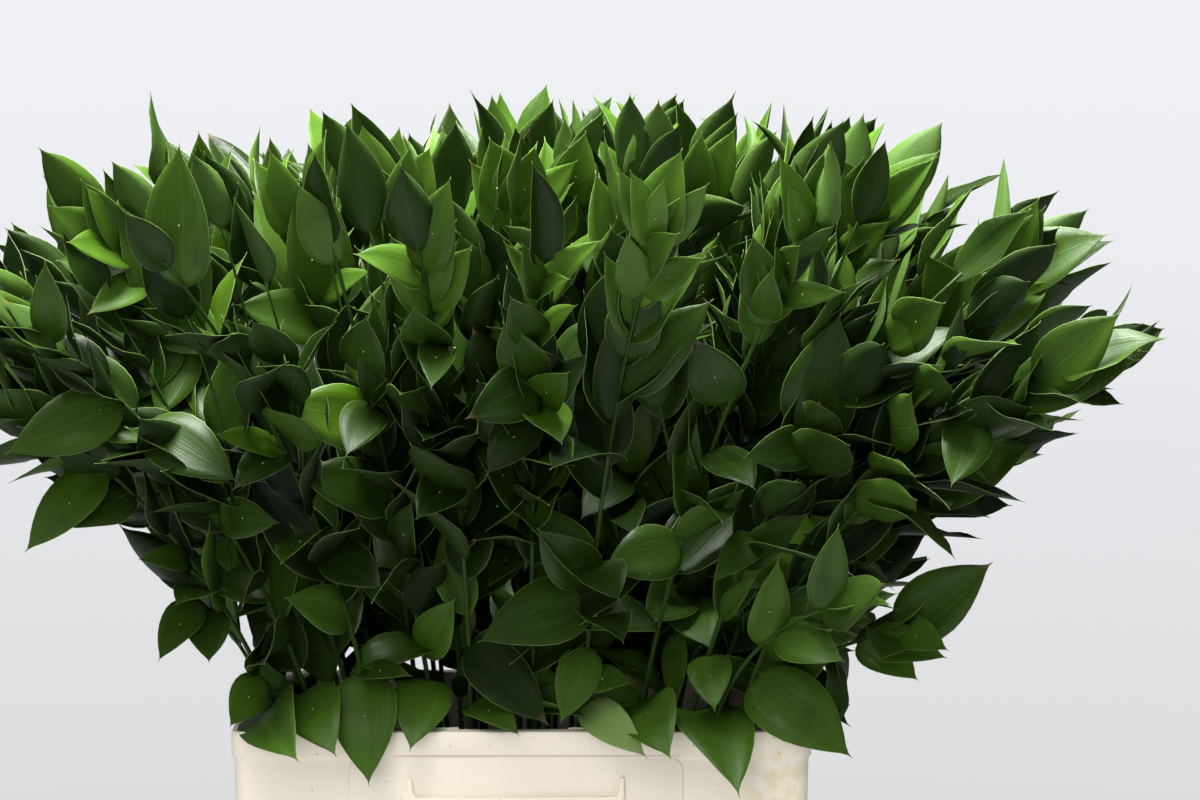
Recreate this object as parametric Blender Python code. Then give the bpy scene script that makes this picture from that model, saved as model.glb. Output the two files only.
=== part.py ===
"""A tall cream crate of fresh ruscus: leafy stems that stand in shallow water and spread over the rim.

Metres, +Z up. The origin is the middle of the crate's underside, +X runs along its long side and
-Y is its front. Each stem starts on the crate's floor, passes through a plain hole in the water,
leans on its way to the mouth and bows outwards above it.
"""

import math

import bmesh
import bpy
import numpy as np
from mathutils.bvhtree import BVHTree

# Crate: outer size at the rim, its slope and its walls
CRATE_LENGTH = 0.400
CRATE_WIDTH = 0.300
CRATE_HEIGHT = 0.360
WALL_SLOPE = math.tan(math.radians(1.2))
WALL = 0.0035
FLOOR = 0.004
CORNER_RADIUS = 0.011
MOUTH_CORNER_RADIUS = 0.042
CORNER_STEPS = 4
RIM_WIDTH = 0.013
RIM_THICKNESS = 0.004
RIM_BAND = 0.018
RIM_PROUD = 0.0015
EDGE_BREAK = 0.0015

# The raised panel and label ledge on the two long sides
PANEL_WIDTH = 0.230
PANEL_DEPTH = 0.0012
PANEL_CORNER = 0.010
PANEL_FOOT = 0.030
PANEL_SHIFT = -0.004
LEDGE_WIDTH = 0.149
LEDGE_DROP = 0.045
LEDGE_HEIGHT = 0.070
LEDGE_DEPTH = 0.0045
GUSSET_WIDTH = 0.006
GUSSET_HEIGHT = 0.013

# Water, and the clearance that touching pieces keep
WATER_DEPTH = 0.080
GAP = 0.0003
HOLE_GAP = 0.0006
HOLE_BELOW, HOLE_ABOVE = 0.010, 0.030

# Stems: a staggered grid of upright ones, and low sprays at the two ends
STEM_COLUMNS = 10
STEM_ROWS = 5
MOUTH_SPREAD = (0.166, 0.118)
FOOT_SHARE = 0.38
LOW_FOOT_SHARE = 0.58
FOOT_LIFT = 0.0018
REACH = 0.389
LEAN_LEFT, LEAN_RIGHT, LEAN_DEPTH = 39.0, 45.0, 27.0
LEAN_SIDE_POWER, LEAN_DEPTH_POWER = 1.30, 1.10
STAGGER = 0.25
COLUMN_JITTER, ROW_JITTER = 0.05, 0.09
GRID_ACROSS, GRID_ALONG = 0.92, 0.84
FURTHEST = 1.03
KNEE_SHARE, KNEE_JITTER = 0.5, 0.012
REACH_LESS, REACH_MORE = 0.035, 0.015
# The crown's outline: a dip in the middle and a rise to its right as (height, place, width), and the drop
# at the left and right ends
CROWN = 1.005
CROWN_DIP = (0.035, -0.06, 0.25)
CROWN_RISE = (0.055, 0.36, 0.28)
END_PLACE = 0.8
LEFT_DROP, RIGHT_DROP = 0.08, 0.09
STEM_SIDES = 3
STEM_KNOTS = 4
STEM_RADIUS_FOOT, STEM_RADIUS_TIP = 0.0032, 0.0018
# Each low spray: place across and along the mouth, lean sideways and forwards in degrees, reach
LOW_SPRAYS = (
    (1.07, -0.72, 56.0, -20.0, 0.115),
    (1.07, -0.22, 43.0, -6.0, 0.265),
    (1.07, 0.70, 54.0, 16.0, 0.155),
    (0.80, -1.10, 40.0, -38.0, 0.140),
    (-1.07, -0.72, -30.0, -18.0, 0.110),
    (-1.07, 0.05, -30.0, 4.0, 0.140),
    (-1.07, 0.72, -30.0, 18.0, 0.150),
)

# The large leaves that show best from the front. Each row gives root and tip as x and height in the
# plane of the crate's front, from the middle of the rim, and the leaf's width as a share of the usual.
# VIEWER is where they are seen from.
VIEWER = np.array([0.023, -2.95, 0.807])
LEADING_LEAVES = (
    (-0.177, 0.038, -0.200, 0.003, 0.9),
    (-0.164, 0.019, -0.153, -0.021, 1.0),
    (-0.136, 0.030, -0.127, -0.018, 1.0),
    (-0.104, 0.039, -0.105, -0.038, 1.1),
    (-0.067, 0.035, -0.077, -0.014, 1.1),
    (-0.022, 0.018, -0.001, -0.003, 0.9),
    (0.030, 0.018, 0.087, -0.019, 0.8),
    (0.080, 0.020, 0.103, -0.020, 1.0),
    (0.104, 0.013, 0.150, -0.046, 1.0),
    (0.159, 0.036, 0.228, -0.019, 1.15),
    (-0.149, 0.079, -0.129, 0.029, 1.2),
    (-0.109, 0.078, -0.158, 0.093, 1.1),
    (-0.231, 0.092, -0.253, 0.049, 0.9),
    (-0.212, 0.088, -0.213, 0.049, 1.0),
    (-0.145, 0.101, -0.224, 0.128, 1.0),
    (-0.105, 0.152, -0.163, 0.175, 1.2),
    (-0.064, 0.052, -0.044, 0.092, 1.0),
    (0.045, 0.091, -0.032, 0.061, 1.1),
    (0.030, 0.059, 0.020, 0.006, 1.0),
    (-0.021, 0.176, -0.062, 0.146, 1.0),
    (-0.008, 0.219, -0.032, 0.176, 1.0),
    (-0.264, 0.201, -0.197, 0.168, 1.1),
    (-0.278, 0.189, -0.337, 0.127, 0.9),
    (-0.259, 0.170, -0.313, 0.143, 1.1),
    (-0.284, 0.212, -0.358, 0.185, 1.0),
    (0.257, 0.092, 0.323, 0.128, 1.1),
    (0.216, 0.075, 0.222, 0.140, 0.8),
    (0.171, 0.052, 0.214, 0.104, 1.1),
    (0.247, 0.092, 0.244, 0.061, 1.0),
    (0.233, 0.062, 0.293, 0.050, 1.0),
    (0.184, 0.055, 0.226, 0.042, 1.1),
    (0.130, 0.153, 0.088, 0.117, 1.0),
    (0.140, 0.188, 0.165, 0.164, 1.1),
    (0.273, 0.155, 0.355, 0.197, 1.0),
    (0.319, 0.195, 0.298, 0.159, 1.1),
    (0.110, 0.068, 0.107, 0.013, 0.6),
    (-0.244, 0.274, -0.279, 0.362, 0.8),
    (-0.239, 0.340, -0.236, 0.420, 1.0),
    (-0.178, 0.290, -0.201, 0.375, 1.0),
    (-0.145, 0.282, -0.134, 0.368, 0.8),
    (-0.096, 0.359, -0.067, 0.411, 1.2),
    (-0.088, 0.313, -0.057, 0.380, 0.9),
    (-0.086, 0.291, -0.054, 0.350, 0.8),
    (-0.025, 0.335, -0.045, 0.393, 1.0),
    (-0.014, 0.356, 0.005, 0.405, 1.1),
    (-0.149, 0.271, -0.205, 0.291, 1.1),
    (-0.139, 0.236, -0.120, 0.282, 1.1),
    (-0.229, 0.268, -0.250, 0.213, 1.1),
    (-0.248, 0.265, -0.293, 0.213, 0.9),
    (-0.212, 0.250, -0.205, 0.203, 1.0),
    (-0.119, 0.206, -0.173, 0.224, 1.3),
    (-0.012, 0.242, -0.048, 0.216, 1.2),
    (-0.009, 0.246, -0.021, 0.282, 1.1),
    (-0.009, 0.226, 0.025, 0.248, 0.9),
    (-0.009, 0.224, 0.020, 0.197, 1.1),
    (-0.298, 0.324, -0.334, 0.359, 1.0),
    (-0.324, 0.273, -0.326, 0.327, 0.8),
    (-0.274, 0.359, -0.301, 0.393, 0.9),
    (0.340, 0.264, 0.404, 0.300, 1.1),
    (0.328, 0.241, 0.420, 0.261, 1.0),
    (0.357, 0.300, 0.415, 0.338, 1.1),
    (0.331, 0.335, 0.356, 0.379, 1.0),
    (0.277, 0.264, 0.313, 0.344, 1.1),
    (0.204, 0.196, 0.221, 0.288, 1.1),
    (0.077, 0.257, 0.093, 0.327, 1.0),
    (0.070, 0.235, 0.133, 0.298, 0.9),
    (0.177, 0.230, 0.146, 0.276, 1.1),
    (0.242, 0.284, 0.282, 0.300, 1.2),
    (0.219, 0.371, 0.226, 0.405, 1.2),
    (0.099, 0.351, 0.114, 0.408, 1.1),
    (0.141, 0.300, 0.145, 0.347, 1.0),
    (0.168, 0.208, 0.193, 0.246, 1.0),
    (0.197, 0.197, 0.151, 0.189, 1.0),
    (0.264, 0.371, 0.299, 0.410, 0.9),
    (0.068, 0.420, 0.093, 0.442, 1.2),
    (-0.243, 0.281, -0.219, 0.344, 0.8),
    (-0.115, 0.222, -0.106, 0.298, 0.6),
    (-0.153, 0.284, -0.164, 0.364, 0.9),
    (-0.141, 0.296, -0.104, 0.316, 0.7),
    (-0.092, 0.305, -0.126, 0.326, 1.0),
    (-0.105, 0.367, -0.119, 0.408, 1.1),
    (-0.132, 0.357, -0.155, 0.393, 0.9),
    (-0.155, 0.374, -0.172, 0.415, 0.8),
    (-0.188, 0.360, -0.197, 0.400, 1.0),
    (-0.219, 0.374, -0.219, 0.422, 0.8),
    (-0.191, 0.381, -0.207, 0.417, 0.8),
    (-0.283, 0.343, -0.302, 0.381, 0.7),
    (-0.288, 0.308, -0.319, 0.329, 1.0),
    (-0.267, 0.298, -0.301, 0.281, 0.8),
    (-0.233, 0.270, -0.212, 0.326, 0.6),
    (-0.095, 0.229, -0.117, 0.191, 1.0),
    (-0.057, 0.222, -0.072, 0.276, 0.9),
    (-0.029, 0.267, -0.061, 0.292, 1.1),
    (-0.034, 0.267, -0.051, 0.236, 0.8),
    (-0.167, 0.191, -0.212, 0.204, 0.7),
    (-0.153, 0.201, -0.193, 0.170, 0.9),
    (-0.205, 0.153, -0.164, 0.146, 0.9),
    (-0.098, 0.119, -0.083, 0.158, 0.8),
    (-0.067, 0.402, -0.068, 0.431, 0.9),
    (-0.050, 0.395, -0.055, 0.428, 1.1),
    (-0.022, 0.391, -0.030, 0.426, 1.3),
    (0.043, 0.398, 0.048, 0.429, 1.1),
    (-0.013, 0.337, 0.032, 0.376, 0.8),
    (0.004, 0.367, 0.042, 0.400, 0.8),
    (-0.008, 0.315, 0.047, 0.342, 0.6),
    (-0.026, 0.295, -0.017, 0.336, 0.9),
    (-0.015, 0.298, -0.012, 0.337, 0.6),
    (-0.012, 0.295, 0.023, 0.310, 0.6),
    (0.002, 0.267, 0.035, 0.293, 0.7),
    (-0.005, 0.267, -0.015, 0.299, 0.9),
    (0.033, 0.277, 0.014, 0.308, 0.8),
    (0.047, 0.274, 0.044, 0.331, 0.75),
    (0.057, 0.343, 0.052, 0.391, 0.7),
    (0.081, 0.339, 0.070, 0.388, 0.8),
    (0.088, 0.346, 0.097, 0.386, 0.6),
    (0.062, 0.417, 0.068, 0.442, 0.8),
    (0.109, 0.339, 0.137, 0.379, 0.8),
    (0.076, 0.298, 0.070, 0.343, 0.8),
    (0.099, 0.298, 0.134, 0.324, 0.8),
    (0.103, 0.315, 0.116, 0.341, 0.9),
    (0.133, 0.295, 0.156, 0.324, 0.7),
    (0.168, 0.277, 0.162, 0.333, 0.8),
    (0.188, 0.291, 0.179, 0.331, 0.7),
    (0.161, 0.324, 0.181, 0.339, 0.7),
    (0.175, 0.250, 0.170, 0.290, 0.7),
    (0.177, 0.239, 0.197, 0.283, 0.6),
    (0.133, 0.229, 0.115, 0.273, 1.2),
    (0.059, 0.215, 0.055, 0.277, 0.7),
    (0.078, 0.177, 0.089, 0.233, 0.7),
    (0.092, 0.181, 0.108, 0.236, 0.6),
    (0.078, 0.177, 0.043, 0.146, 1.0),
    (0.128, 0.157, 0.124, 0.215, 0.35),
    (0.135, 0.167, 0.146, 0.215, 0.4),
    (0.154, 0.198, 0.137, 0.219, 0.9),
    (0.144, 0.402, 0.158, 0.434, 0.9),
    (0.185, 0.381, 0.172, 0.417, 0.8),
    (0.138, 0.391, 0.132, 0.426, 0.9),
    (0.200, 0.346, 0.185, 0.381, 0.6),
    (-0.122, 0.126, -0.089, 0.098, 1.1),
    (-0.012, 0.129, -0.026, 0.101, 0.8),
    (-0.198, 0.105, -0.231, 0.091, 1.0),
    (-0.222, 0.126, -0.261, 0.122, 0.6),
    (-0.090, 0.046, -0.066, 0.041, 0.6),
    (0.050, 0.105, 0.011, 0.141, 1.2),
    (0.088, 0.132, 0.046, 0.114, 1.3),
    (0.054, 0.112, 0.069, 0.089, 1.1),
    (0.071, 0.160, 0.079, 0.135, 0.9),
    (0.147, 0.139, 0.125, 0.105, 0.8),
    (0.157, 0.112, 0.200, 0.150, 0.8),
    (0.116, 0.098, 0.085, 0.074, 1.2),
    (0.116, 0.091, 0.131, 0.057, 1.2),
    (0.137, 0.077, 0.161, 0.106, 0.5),
    (0.166, 0.057, 0.177, 0.119, 0.8),
    (0.133, 0.053, 0.135, 0.014, 1.0),
    (0.045, 0.036, 0.077, 0.034, 0.7),
    (0.219, 0.007, 0.226, 0.036, 1.0),
    (0.237, 0.050, 0.275, 0.029, 1.0),
    (0.257, 0.084, 0.293, 0.063, 0.9),
    (0.264, 0.139, 0.240, 0.107, 0.7),
    (0.240, 0.277, 0.283, 0.300, 1.0),
    (0.264, 0.381, 0.297, 0.410, 0.9),
    (0.225, 0.315, 0.256, 0.348, 0.8),
    (0.240, 0.371, 0.219, 0.405, 1.0),
    (0.319, 0.343, 0.355, 0.377, 0.9),
    (0.188, 0.290, 0.228, 0.298, 0.6),
    (0.306, 0.277, 0.280, 0.326, 1.1),
)

# Leaves
LEAF_SPACING = 0.0122
SHOOT_SPACING = 0.0145
SHOOTS = 2
SHOOT_START = (0.38, 0.60)
SHOOT_TURN_JITTER = 0.4
SHOOT_INWARDS = 1.6
SHOOT_LENGTH = (0.84, 1.0)
SHOOT_SPREAD = (13, 25)
SHOOT_KNEE_SHARE, SHOOT_KNEE_SPREAD = 0.45, 1.8
LEAF_LENGTH_LOW, LEAF_LENGTH_TIP = 0.084, 0.068
LEAF_SHAPE = 0.245
# Its outline: how its body widens from the root and narrows, its long point and its own short stalk
BODY_END, BODY_SCALE = 0.94, 0.349
WIDENING, NARROWING = 0.62, 0.95
POINT_WIDTH, POINT_LENGTH, POINT_POWER = 0.13, 0.16, 1.4
STALK_WIDTH = 0.045
WAVES, WAVE_SKEW = 1.5, 1.2
LEAF_THICKNESS = 0.0007
TERMINAL = 0.985
GOLDEN_TURN = math.radians(137.5)
SKIRT_REACH = 0.075
TRIALS = 7
NEAR = 0.115
SEED = 7

# How a leaf may stand: its angle from the stem in degrees low down and at the tip, and how much it varies.
# Low leaves differ: in front they hang over the rim as a skirt, behind they stand between the stems.
PITCH_LOW, PITCH_TIP, PITCH_POWER, PITCH_VARIES = 48, 15, 0.75, 14
PITCH_LAST = (2, 10)
SKIRT_FROM = 0.7
SKIRT = {"swing": 0.5, "spread": 1.2, "pitch": (72, 108), "pull": (0.1, 1.9), "bend": (25, 75)}
SCREEN = {"swing": 1.7, "spread": 0.25, "pitch": (55, 90), "pull": (2.0, 4.0), "bend": (0, 20)}
TURN_VARIES = 0.7
TURN_COST = 0.3
LIGHT_PULL = 0.55
OUTWARD_LEAST = np.array([0.0, -0.05, 0.02])
OUTER_DROOP = 18
SAG = 0.30
LIGHT_FROM = np.array([0.0, 0.05, CRATE_HEIGHT + 0.05])
FACE_PULL = (0.1, 1.9)
LENGTH_FROM, LENGTH_POWER = 0.4, 1.2
LENGTH_VARIES, WIDTH_VARIES = (0.70, 1.22), (0.88, 1.10)
BEND_LOW, BEND_TIP, BEND_VARIES = 20, 3, 13
CUP, CUP_VARIES, CUP_LEAST = 0.55, 0.25, 0.08
TWIST_VARIES = 21
WAVE = (0.04, 0.18)

# How a leading leaf stands
LEADING_FROM = (0.02, 0.94)
LEADING_BEND, HANGING_BEND = (12, 36), 35
LEADING_CUP, LEADING_TWIST, LEADING_WAVE = (0.15, 0.5), 0.14, (0.02, 0.09)
LEADING_TILT_X, LEADING_TILT_Z = (-0.3, 0.3), (0.1, 0.6)
LEADING_FORWARDS, HANGING_FORWARDS, STEP_FORWARDS = 0.032, 0.016, 0.009
LEADING_NARROW, LEADING_SHORT = 0.066, 0.058
FRONT_FIRST, HANGING_FRONT_FIRST = 0.11, 0.30
TIP_FOLLOWS = 0.45

# Where along its axis a leaf may start
STEM_LEAVES, SHOOT_LEAVES = (0.03, 0.955), (0.16, 0.825)
LEAF_JITTER = 0.2
CROWDING_UP, CROWDING_UP_BEHIND = 0.72, 0.95
BEHIND_FROM = 0.2

# Where a leaf is felt for while its place is chosen, and how near others may come
FEEL_ROWS = np.array([0.25, 0.25, 0.25, 0.45, 0.45, 0.45, 0.7, 0.7, 0.7, 0.88, 1.0])
FEEL_SIDES = np.array([-0.9, 0, 0.9, -0.9, 0, 0.9, -0.9, 0, 0.9, 0, 0])
FEEL_MIDDLE = 4
BARRED = 30.0
BOX_MARGIN = 0.003
MOST_HIDING = 5.0
HIDING_NEAR, CLOSE, TOUCHING, STALK_NEAR = 0.014, 0.012, 0.004, 0.007
TOUCHING_COST = 0.6
STALK_SEARCH = 0.07
WALL_CLEAR, WALL_LOW = 0.005, 0.003
MOUTH_CLEAR = 0.012

# The height, from the rim, under which only leading leaves hang: at the front, at the back, and beyond the
# left and right ends, where it rises outwards (height at a place, slope)
FRONT_DROP, BACK_DROP = 0.006, 0.060
LEFT_RISE, RIGHT_RISE = (0.065, -0.20, -0.7), (0.0, 0.245, 1.3)

# The solids carry a share of the leaves, spread evenly from mouth to tip and a little larger than life
SOLID_LEAVES = 6
SOLID_WINDOW = 0.55
SOLID_LENGTH, SOLID_WIDTH = 1.12, 1.30
SOLID_TIP_WIDTH = 1.15
BLADE_ROWS = (0.24, 0.60)
ROOT = -0.02

CREAM = (0.871, 0.791, 0.658, 1.0)
LEAF_GREEN = (0.034, 0.118, 0.013, 1.0)
WATER_TINT = (0.70, 0.80, 0.74, 1.0)


def clear_scene():
    for thing in list(bpy.data.objects):
        bpy.data.objects.remove(thing)


def make_material(name, color, roughness):
    material = bpy.data.materials.new(name)
    material.use_nodes = True
    shader = material.node_tree.nodes["Principled BSDF"]
    shader.inputs["Base Color"].default_value = color
    shader.inputs["Roughness"].default_value = roughness
    shader.inputs["Metallic"].default_value = 0.0
    return material


def add_mesh(name, points, faces, material=None):
    mesh = bpy.data.meshes.new(name)
    mesh.from_pydata([tuple(map(float, p)) for p in points], [], [tuple(map(int, f)) for f in faces])
    mesh.validate()
    if material:
        mesh.materials.append(material)
    piece = bpy.data.objects.new(name, mesh)
    bpy.context.scene.collection.objects.link(piece)
    return piece


def close_skin(piece):
    """Splits every face into triangles, as a bent face can't be cut cleanly, and turns them all out."""
    work = bmesh.new()
    work.from_mesh(piece.data)
    bmesh.ops.triangulate(work, faces=work.faces)
    bmesh.ops.recalc_face_normals(work, faces=work.faces)
    work.to_mesh(piece.data)
    work.free()


def apply_boolean(piece, operands, operation):
    """Joins or cuts all the operands in one step, and removes them."""
    group = bpy.data.collections.new(piece.name + "_operands")
    bpy.context.scene.collection.children.link(group)
    for operand in operands:
        bpy.context.scene.collection.objects.unlink(operand)
        group.objects.link(operand)
    modifier = piece.modifiers.new(operation.lower(), "BOOLEAN")
    modifier.operation = operation
    modifier.operand_type = "COLLECTION"
    modifier.collection = group
    modifier.solver = "EXACT"
    evaluated = piece.evaluated_get(bpy.context.evaluated_depsgraph_get())
    joined = bpy.data.meshes.new_from_object(evaluated)
    piece.modifiers.remove(modifier)
    piece.data = joined
    for operand in operands:
        bpy.data.objects.remove(operand)
    bpy.data.collections.remove(group)


# Crate


def rounded_rectangle(length, width, radius, height):
    """Four quarter arcs at one height, counter-clockwise from the +X side."""
    points = []
    for corner in range(4):
        side_x = 1 if corner in (0, 3) else -1
        side_y = 1 if corner in (0, 1) else -1
        for step in range(CORNER_STEPS + 1):
            angle = math.pi / 2 * (corner + step / CORNER_STEPS)
            x = side_x * (length / 2 - radius) + radius * math.cos(angle)
            y = side_y * (width / 2 - radius) + radius * math.sin(angle)
            points.append((x, y, height))
    return points


def loft(rings):
    """Closed skin through rings of equal count, with a flat face on the first and the last."""
    count = len(rings[0])
    points = [point for ring in rings for point in ring]
    faces = [tuple(range(count))[::-1], tuple(range(len(points) - count, len(points)))]
    for ring in range(len(rings) - 1):
        low, high = ring * count, (ring + 1) * count
        for i in range(count):
            j = (i + 1) % count
            faces.append((low + i, low + j, high + j, high + i))
    return points, faces


def wall_inset(height):
    """How far the wall's outer face lies inside the rim's outer face at a height."""
    return RIM_PROUD + (CRATE_HEIGHT - height) * WALL_SLOPE


def crate_ring(inset, radius, height):
    return rounded_rectangle(CRATE_LENGTH - 2 * inset, CRATE_WIDTH - 2 * inset, radius, height)


def wall_prism(outline, depth, side):
    """An outline of (x, z) points raised from a long wall and rooted in it. side is -1 for the front."""
    root = WALL * 0.5
    outer = []
    inner = []
    for x, z in outline:
        wall_y = CRATE_WIDTH / 2 - wall_inset(z)
        across = (x + PANEL_SHIFT) * -side
        outer.append((across, side * (wall_y + depth), z))
        inner.append((across, side * (wall_y - root), z))
    return loft([inner, outer])


def panel_outline():
    """The raised panel: square below, two rounded corners under the rim band."""
    top = CRATE_HEIGHT - RIM_BAND + GAP
    half = PANEL_WIDTH / 2
    points = [(-half, PANEL_FOOT), (half, PANEL_FOOT)]
    for corner, start in ((1, 0.0), (-1, math.pi / 2)):
        for step in range(4):
            angle = start + math.pi / 2 * step / 3
            x = corner * (half - PANEL_CORNER) + PANEL_CORNER * math.cos(angle)
            points.append((x, top - PANEL_CORNER + PANEL_CORNER * math.sin(angle)))
    return points


def ledge_outline():
    """The label ledge with a small gusset rising at each end."""
    top = CRATE_HEIGHT - LEDGE_DROP
    half = LEDGE_WIDTH / 2
    return [
        (-half, top - LEDGE_HEIGHT),
        (half, top - LEDGE_HEIGHT),
        (half, top + GUSSET_HEIGHT),
        (half - GUSSET_WIDTH, top),
        (GUSSET_WIDTH - half, top),
        (-half, top + GUSSET_HEIGHT),
    ]


def make_crate(material):
    band_foot = CRATE_HEIGHT - RIM_BAND
    under_rim = CRATE_HEIGHT - RIM_THICKNESS
    rings = [
        crate_ring(wall_inset(0) + 2 * EDGE_BREAK, CORNER_RADIUS, 0.0),
        crate_ring(wall_inset(0), CORNER_RADIUS, 2 * EDGE_BREAK),
        crate_ring(wall_inset(band_foot), CORNER_RADIUS, band_foot),
        crate_ring(0.0, CORNER_RADIUS, band_foot),
        crate_ring(0.0, CORNER_RADIUS, CRATE_HEIGHT - EDGE_BREAK),
        crate_ring(EDGE_BREAK, CORNER_RADIUS, CRATE_HEIGHT),
        crate_ring(RIM_WIDTH, MOUTH_CORNER_RADIUS, CRATE_HEIGHT),
        crate_ring(RIM_WIDTH, MOUTH_CORNER_RADIUS, under_rim),
        crate_ring(wall_inset(under_rim) + WALL, CORNER_RADIUS - WALL, under_rim),
        crate_ring(wall_inset(FLOOR) + WALL, CORNER_RADIUS - WALL, FLOOR),
    ]
    crate = add_mesh("crate", *loft(rings), material)
    close_skin(crate)
    trims = []
    for side in (-1, 1):
        for name, outline, depth in (
            ("panel", panel_outline(), PANEL_DEPTH),
            ("ledge", ledge_outline(), LEDGE_DEPTH),
        ):
            trim = add_mesh(name, *wall_prism(outline, depth, side))
            close_skin(trim)
            trims.append(trim)
    apply_boolean(crate, trims, "UNION")
    crate.data.materials.clear()
    crate.data.materials.append(material)
    return crate


# Stems


def unit(vectors):
    return vectors / np.linalg.norm(vectors, axis=-1, keepdims=True)


def mix(low, high, share):
    return low + (high - low) * share


def lean_direction(sideways, forwards):
    """The unit vector that leans from upright by two angles in degrees."""
    return unit(np.array([math.tan(math.radians(sideways)), math.tan(math.radians(forwards)), 1.0]))


def make_stem_path(mouth, foot_share, way, reach, rng):
    """A straight run from the floor to the mouth, then a quadratic curve to the tip."""
    foot = np.array([mouth[0] * foot_share, mouth[1] * foot_share, FLOOR + GAP + FOOT_LIFT])
    knee = mouth + unit(mouth - foot) * reach * KNEE_SHARE
    knee[:2] += rng.uniform(-KNEE_JITTER, KNEE_JITTER, 2)
    turn = rng.uniform(0, 2 * math.pi)
    return {
        "foot": foot,
        "mouth": mouth,
        "knee": knee,
        "tip": mouth + way * reach,
        "reach": reach,
        "turn": turn,
        "place": mouth[:2] / MOUTH_SPREAD,
    }


def crown(u):
    """How the reach varies across the mouth: less in the middle and at the ends, more right of it."""
    waves = (CROWN_DIP, CROWN_RISE)
    dip, rise = (high * math.exp(-(((u - place) / wide) ** 2)) for high, place, wide in waves)
    drop = RIGHT_DROP if u > END_PLACE else LEFT_DROP if u < -END_PLACE else 0
    return CROWN - dip + rise - drop


def make_stem_paths(rng):
    stems = []
    for row in range(STEM_ROWS):
        for column in range(STEM_COLUMNS):
            stagger = STAGGER if row % 2 else -STAGGER
            u = (column + stagger + 0.5) / STEM_COLUMNS * 2 - 1
            v = (row + 0.5) / STEM_ROWS * 2 - 1
            u = np.clip((u + rng.uniform(-COLUMN_JITTER, COLUMN_JITTER)) / GRID_ACROSS, -FURTHEST, FURTHEST)
            v = np.clip((v + rng.uniform(-ROW_JITTER, ROW_JITTER)) / GRID_ALONG, -FURTHEST, FURTHEST)
            mouth = np.array([MOUTH_SPREAD[0] * u, MOUTH_SPREAD[1] * v, CRATE_HEIGHT])
            sideways = (LEAN_RIGHT if u > 0 else LEAN_LEFT) * math.copysign(abs(u) ** LEAN_SIDE_POWER, u)
            way = lean_direction(sideways, LEAN_DEPTH * math.copysign(abs(v) ** LEAN_DEPTH_POWER, v))
            reach = REACH * crown(u) * (1 + rng.uniform(-REACH_LESS, REACH_MORE))
            stems.append(make_stem_path(mouth, FOOT_SHARE, way, reach, rng))
    for u, v, sideways, forwards, reach in LOW_SPRAYS:
        mouth = np.array([MOUTH_SPREAD[0] * u, MOUTH_SPREAD[1] * v, CRATE_HEIGHT])
        stems.append(make_stem_path(mouth, LOW_FOOT_SHARE, lean_direction(sideways, forwards), reach, rng))
    return stems


def make_shoots(stems, rng):
    """Side shoots: each leaves its stem about half way up, bows aside and ends a little under the tip.
    On the outer stems they turn inwards."""
    shoots = []
    for number, stem in enumerate(stems[: STEM_ROWS * STEM_COLUMNS]):
        outward = np.append(stem["place"], 0.0)
        spin = rng.uniform(0, 2 * math.pi)
        for side in range(SHOOTS):
            start_t = rng.uniform(*SHOOT_START)
            start, tau = stem_point(stem, start_t), stem_way(stem, start_t)
            turn = spin + math.pi * side + rng.uniform(-SHOOT_TURN_JITTER, SHOOT_TURN_JITTER)
            radial = np.array([math.cos(turn), math.sin(turn), 0.0])
            excess = radial @ outward
            if excess > 0:
                radial = radial - SHOOT_INWARDS * excess * outward / np.linalg.norm(outward) ** 1.5
            radial = unit(radial - tau * (radial @ tau))
            length = stem["reach"] * (1 - start_t) * rng.uniform(*SHOOT_LENGTH)
            spread = math.tan(math.radians(rng.uniform(*SHOOT_SPREAD)))
            knee_way = unit(tau + SHOOT_KNEE_SPREAD * spread * radial)
            shoots.append(
                {
                    "mouth": start,
                    "knee": start + knee_way * length * SHOOT_KNEE_SHARE,
                    "tip": start + unit(tau + spread * radial) * length,
                    "reach": length,
                    "turn": rng.uniform(0, 2 * math.pi),
                    "place": stem["place"],
                    "stem": number,
                    "start": start_t,
                }
            )
    return shoots


def stem_point(stem, t):
    t = np.asarray(t, float)[..., None]
    return (1 - t) ** 2 * stem["mouth"] + 2 * t * (1 - t) * stem["knee"] + t**2 * stem["tip"]


def stalk_point(stem, t):
    """The point at t on the straight runs between the stalk's knots."""
    knots = np.linspace(0, 1, STEM_KNOTS + 1)
    points = stem_point(stem, knots)
    return np.array([np.interp(t, knots, points[:, axis]) for axis in range(3)])


def stem_way(stem, t):
    t = np.asarray(t, float)[..., None]
    return unit(2 * (1 - t) * (stem["knee"] - stem["mouth"]) + 2 * t * (stem["tip"] - stem["knee"]))


def tube(path, radii, slant):
    """A closed tube of few sides along a path. Its rings are square to slant, so its sides stay flat."""
    across = unit(np.cross(slant, np.array([0.0, 1.0, 0.0])))
    beside = np.cross(slant, across)
    angles = math.pi / 4 + 2 * math.pi * np.arange(STEM_SIDES) / STEM_SIDES
    spokes = np.cos(angles)[:, None] * across + np.sin(angles)[:, None] * beside
    return loft([centre + radius * spokes for centre, radius in zip(path, radii)])


def stem_radius(stem, distance):
    whole = np.linalg.norm(stem["mouth"] - stem["foot"]) + stem["reach"]
    return mix(STEM_RADIUS_FOOT, STEM_RADIUS_TIP, distance / whole)


def stem_slant(stem):
    return unit(stem["tip"] - stem["foot"])


def stalk_shape(stem):
    knots = stem_point(stem, np.linspace(0, 1, STEM_KNOTS + 1))
    path = np.vstack([stem["foot"], knots])
    runs = np.concatenate([[0.0], np.cumsum(np.linalg.norm(np.diff(path, axis=0), axis=1))])
    return tube(path, [stem_radius(stem, run) for run in runs], stem_slant(stem))


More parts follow.
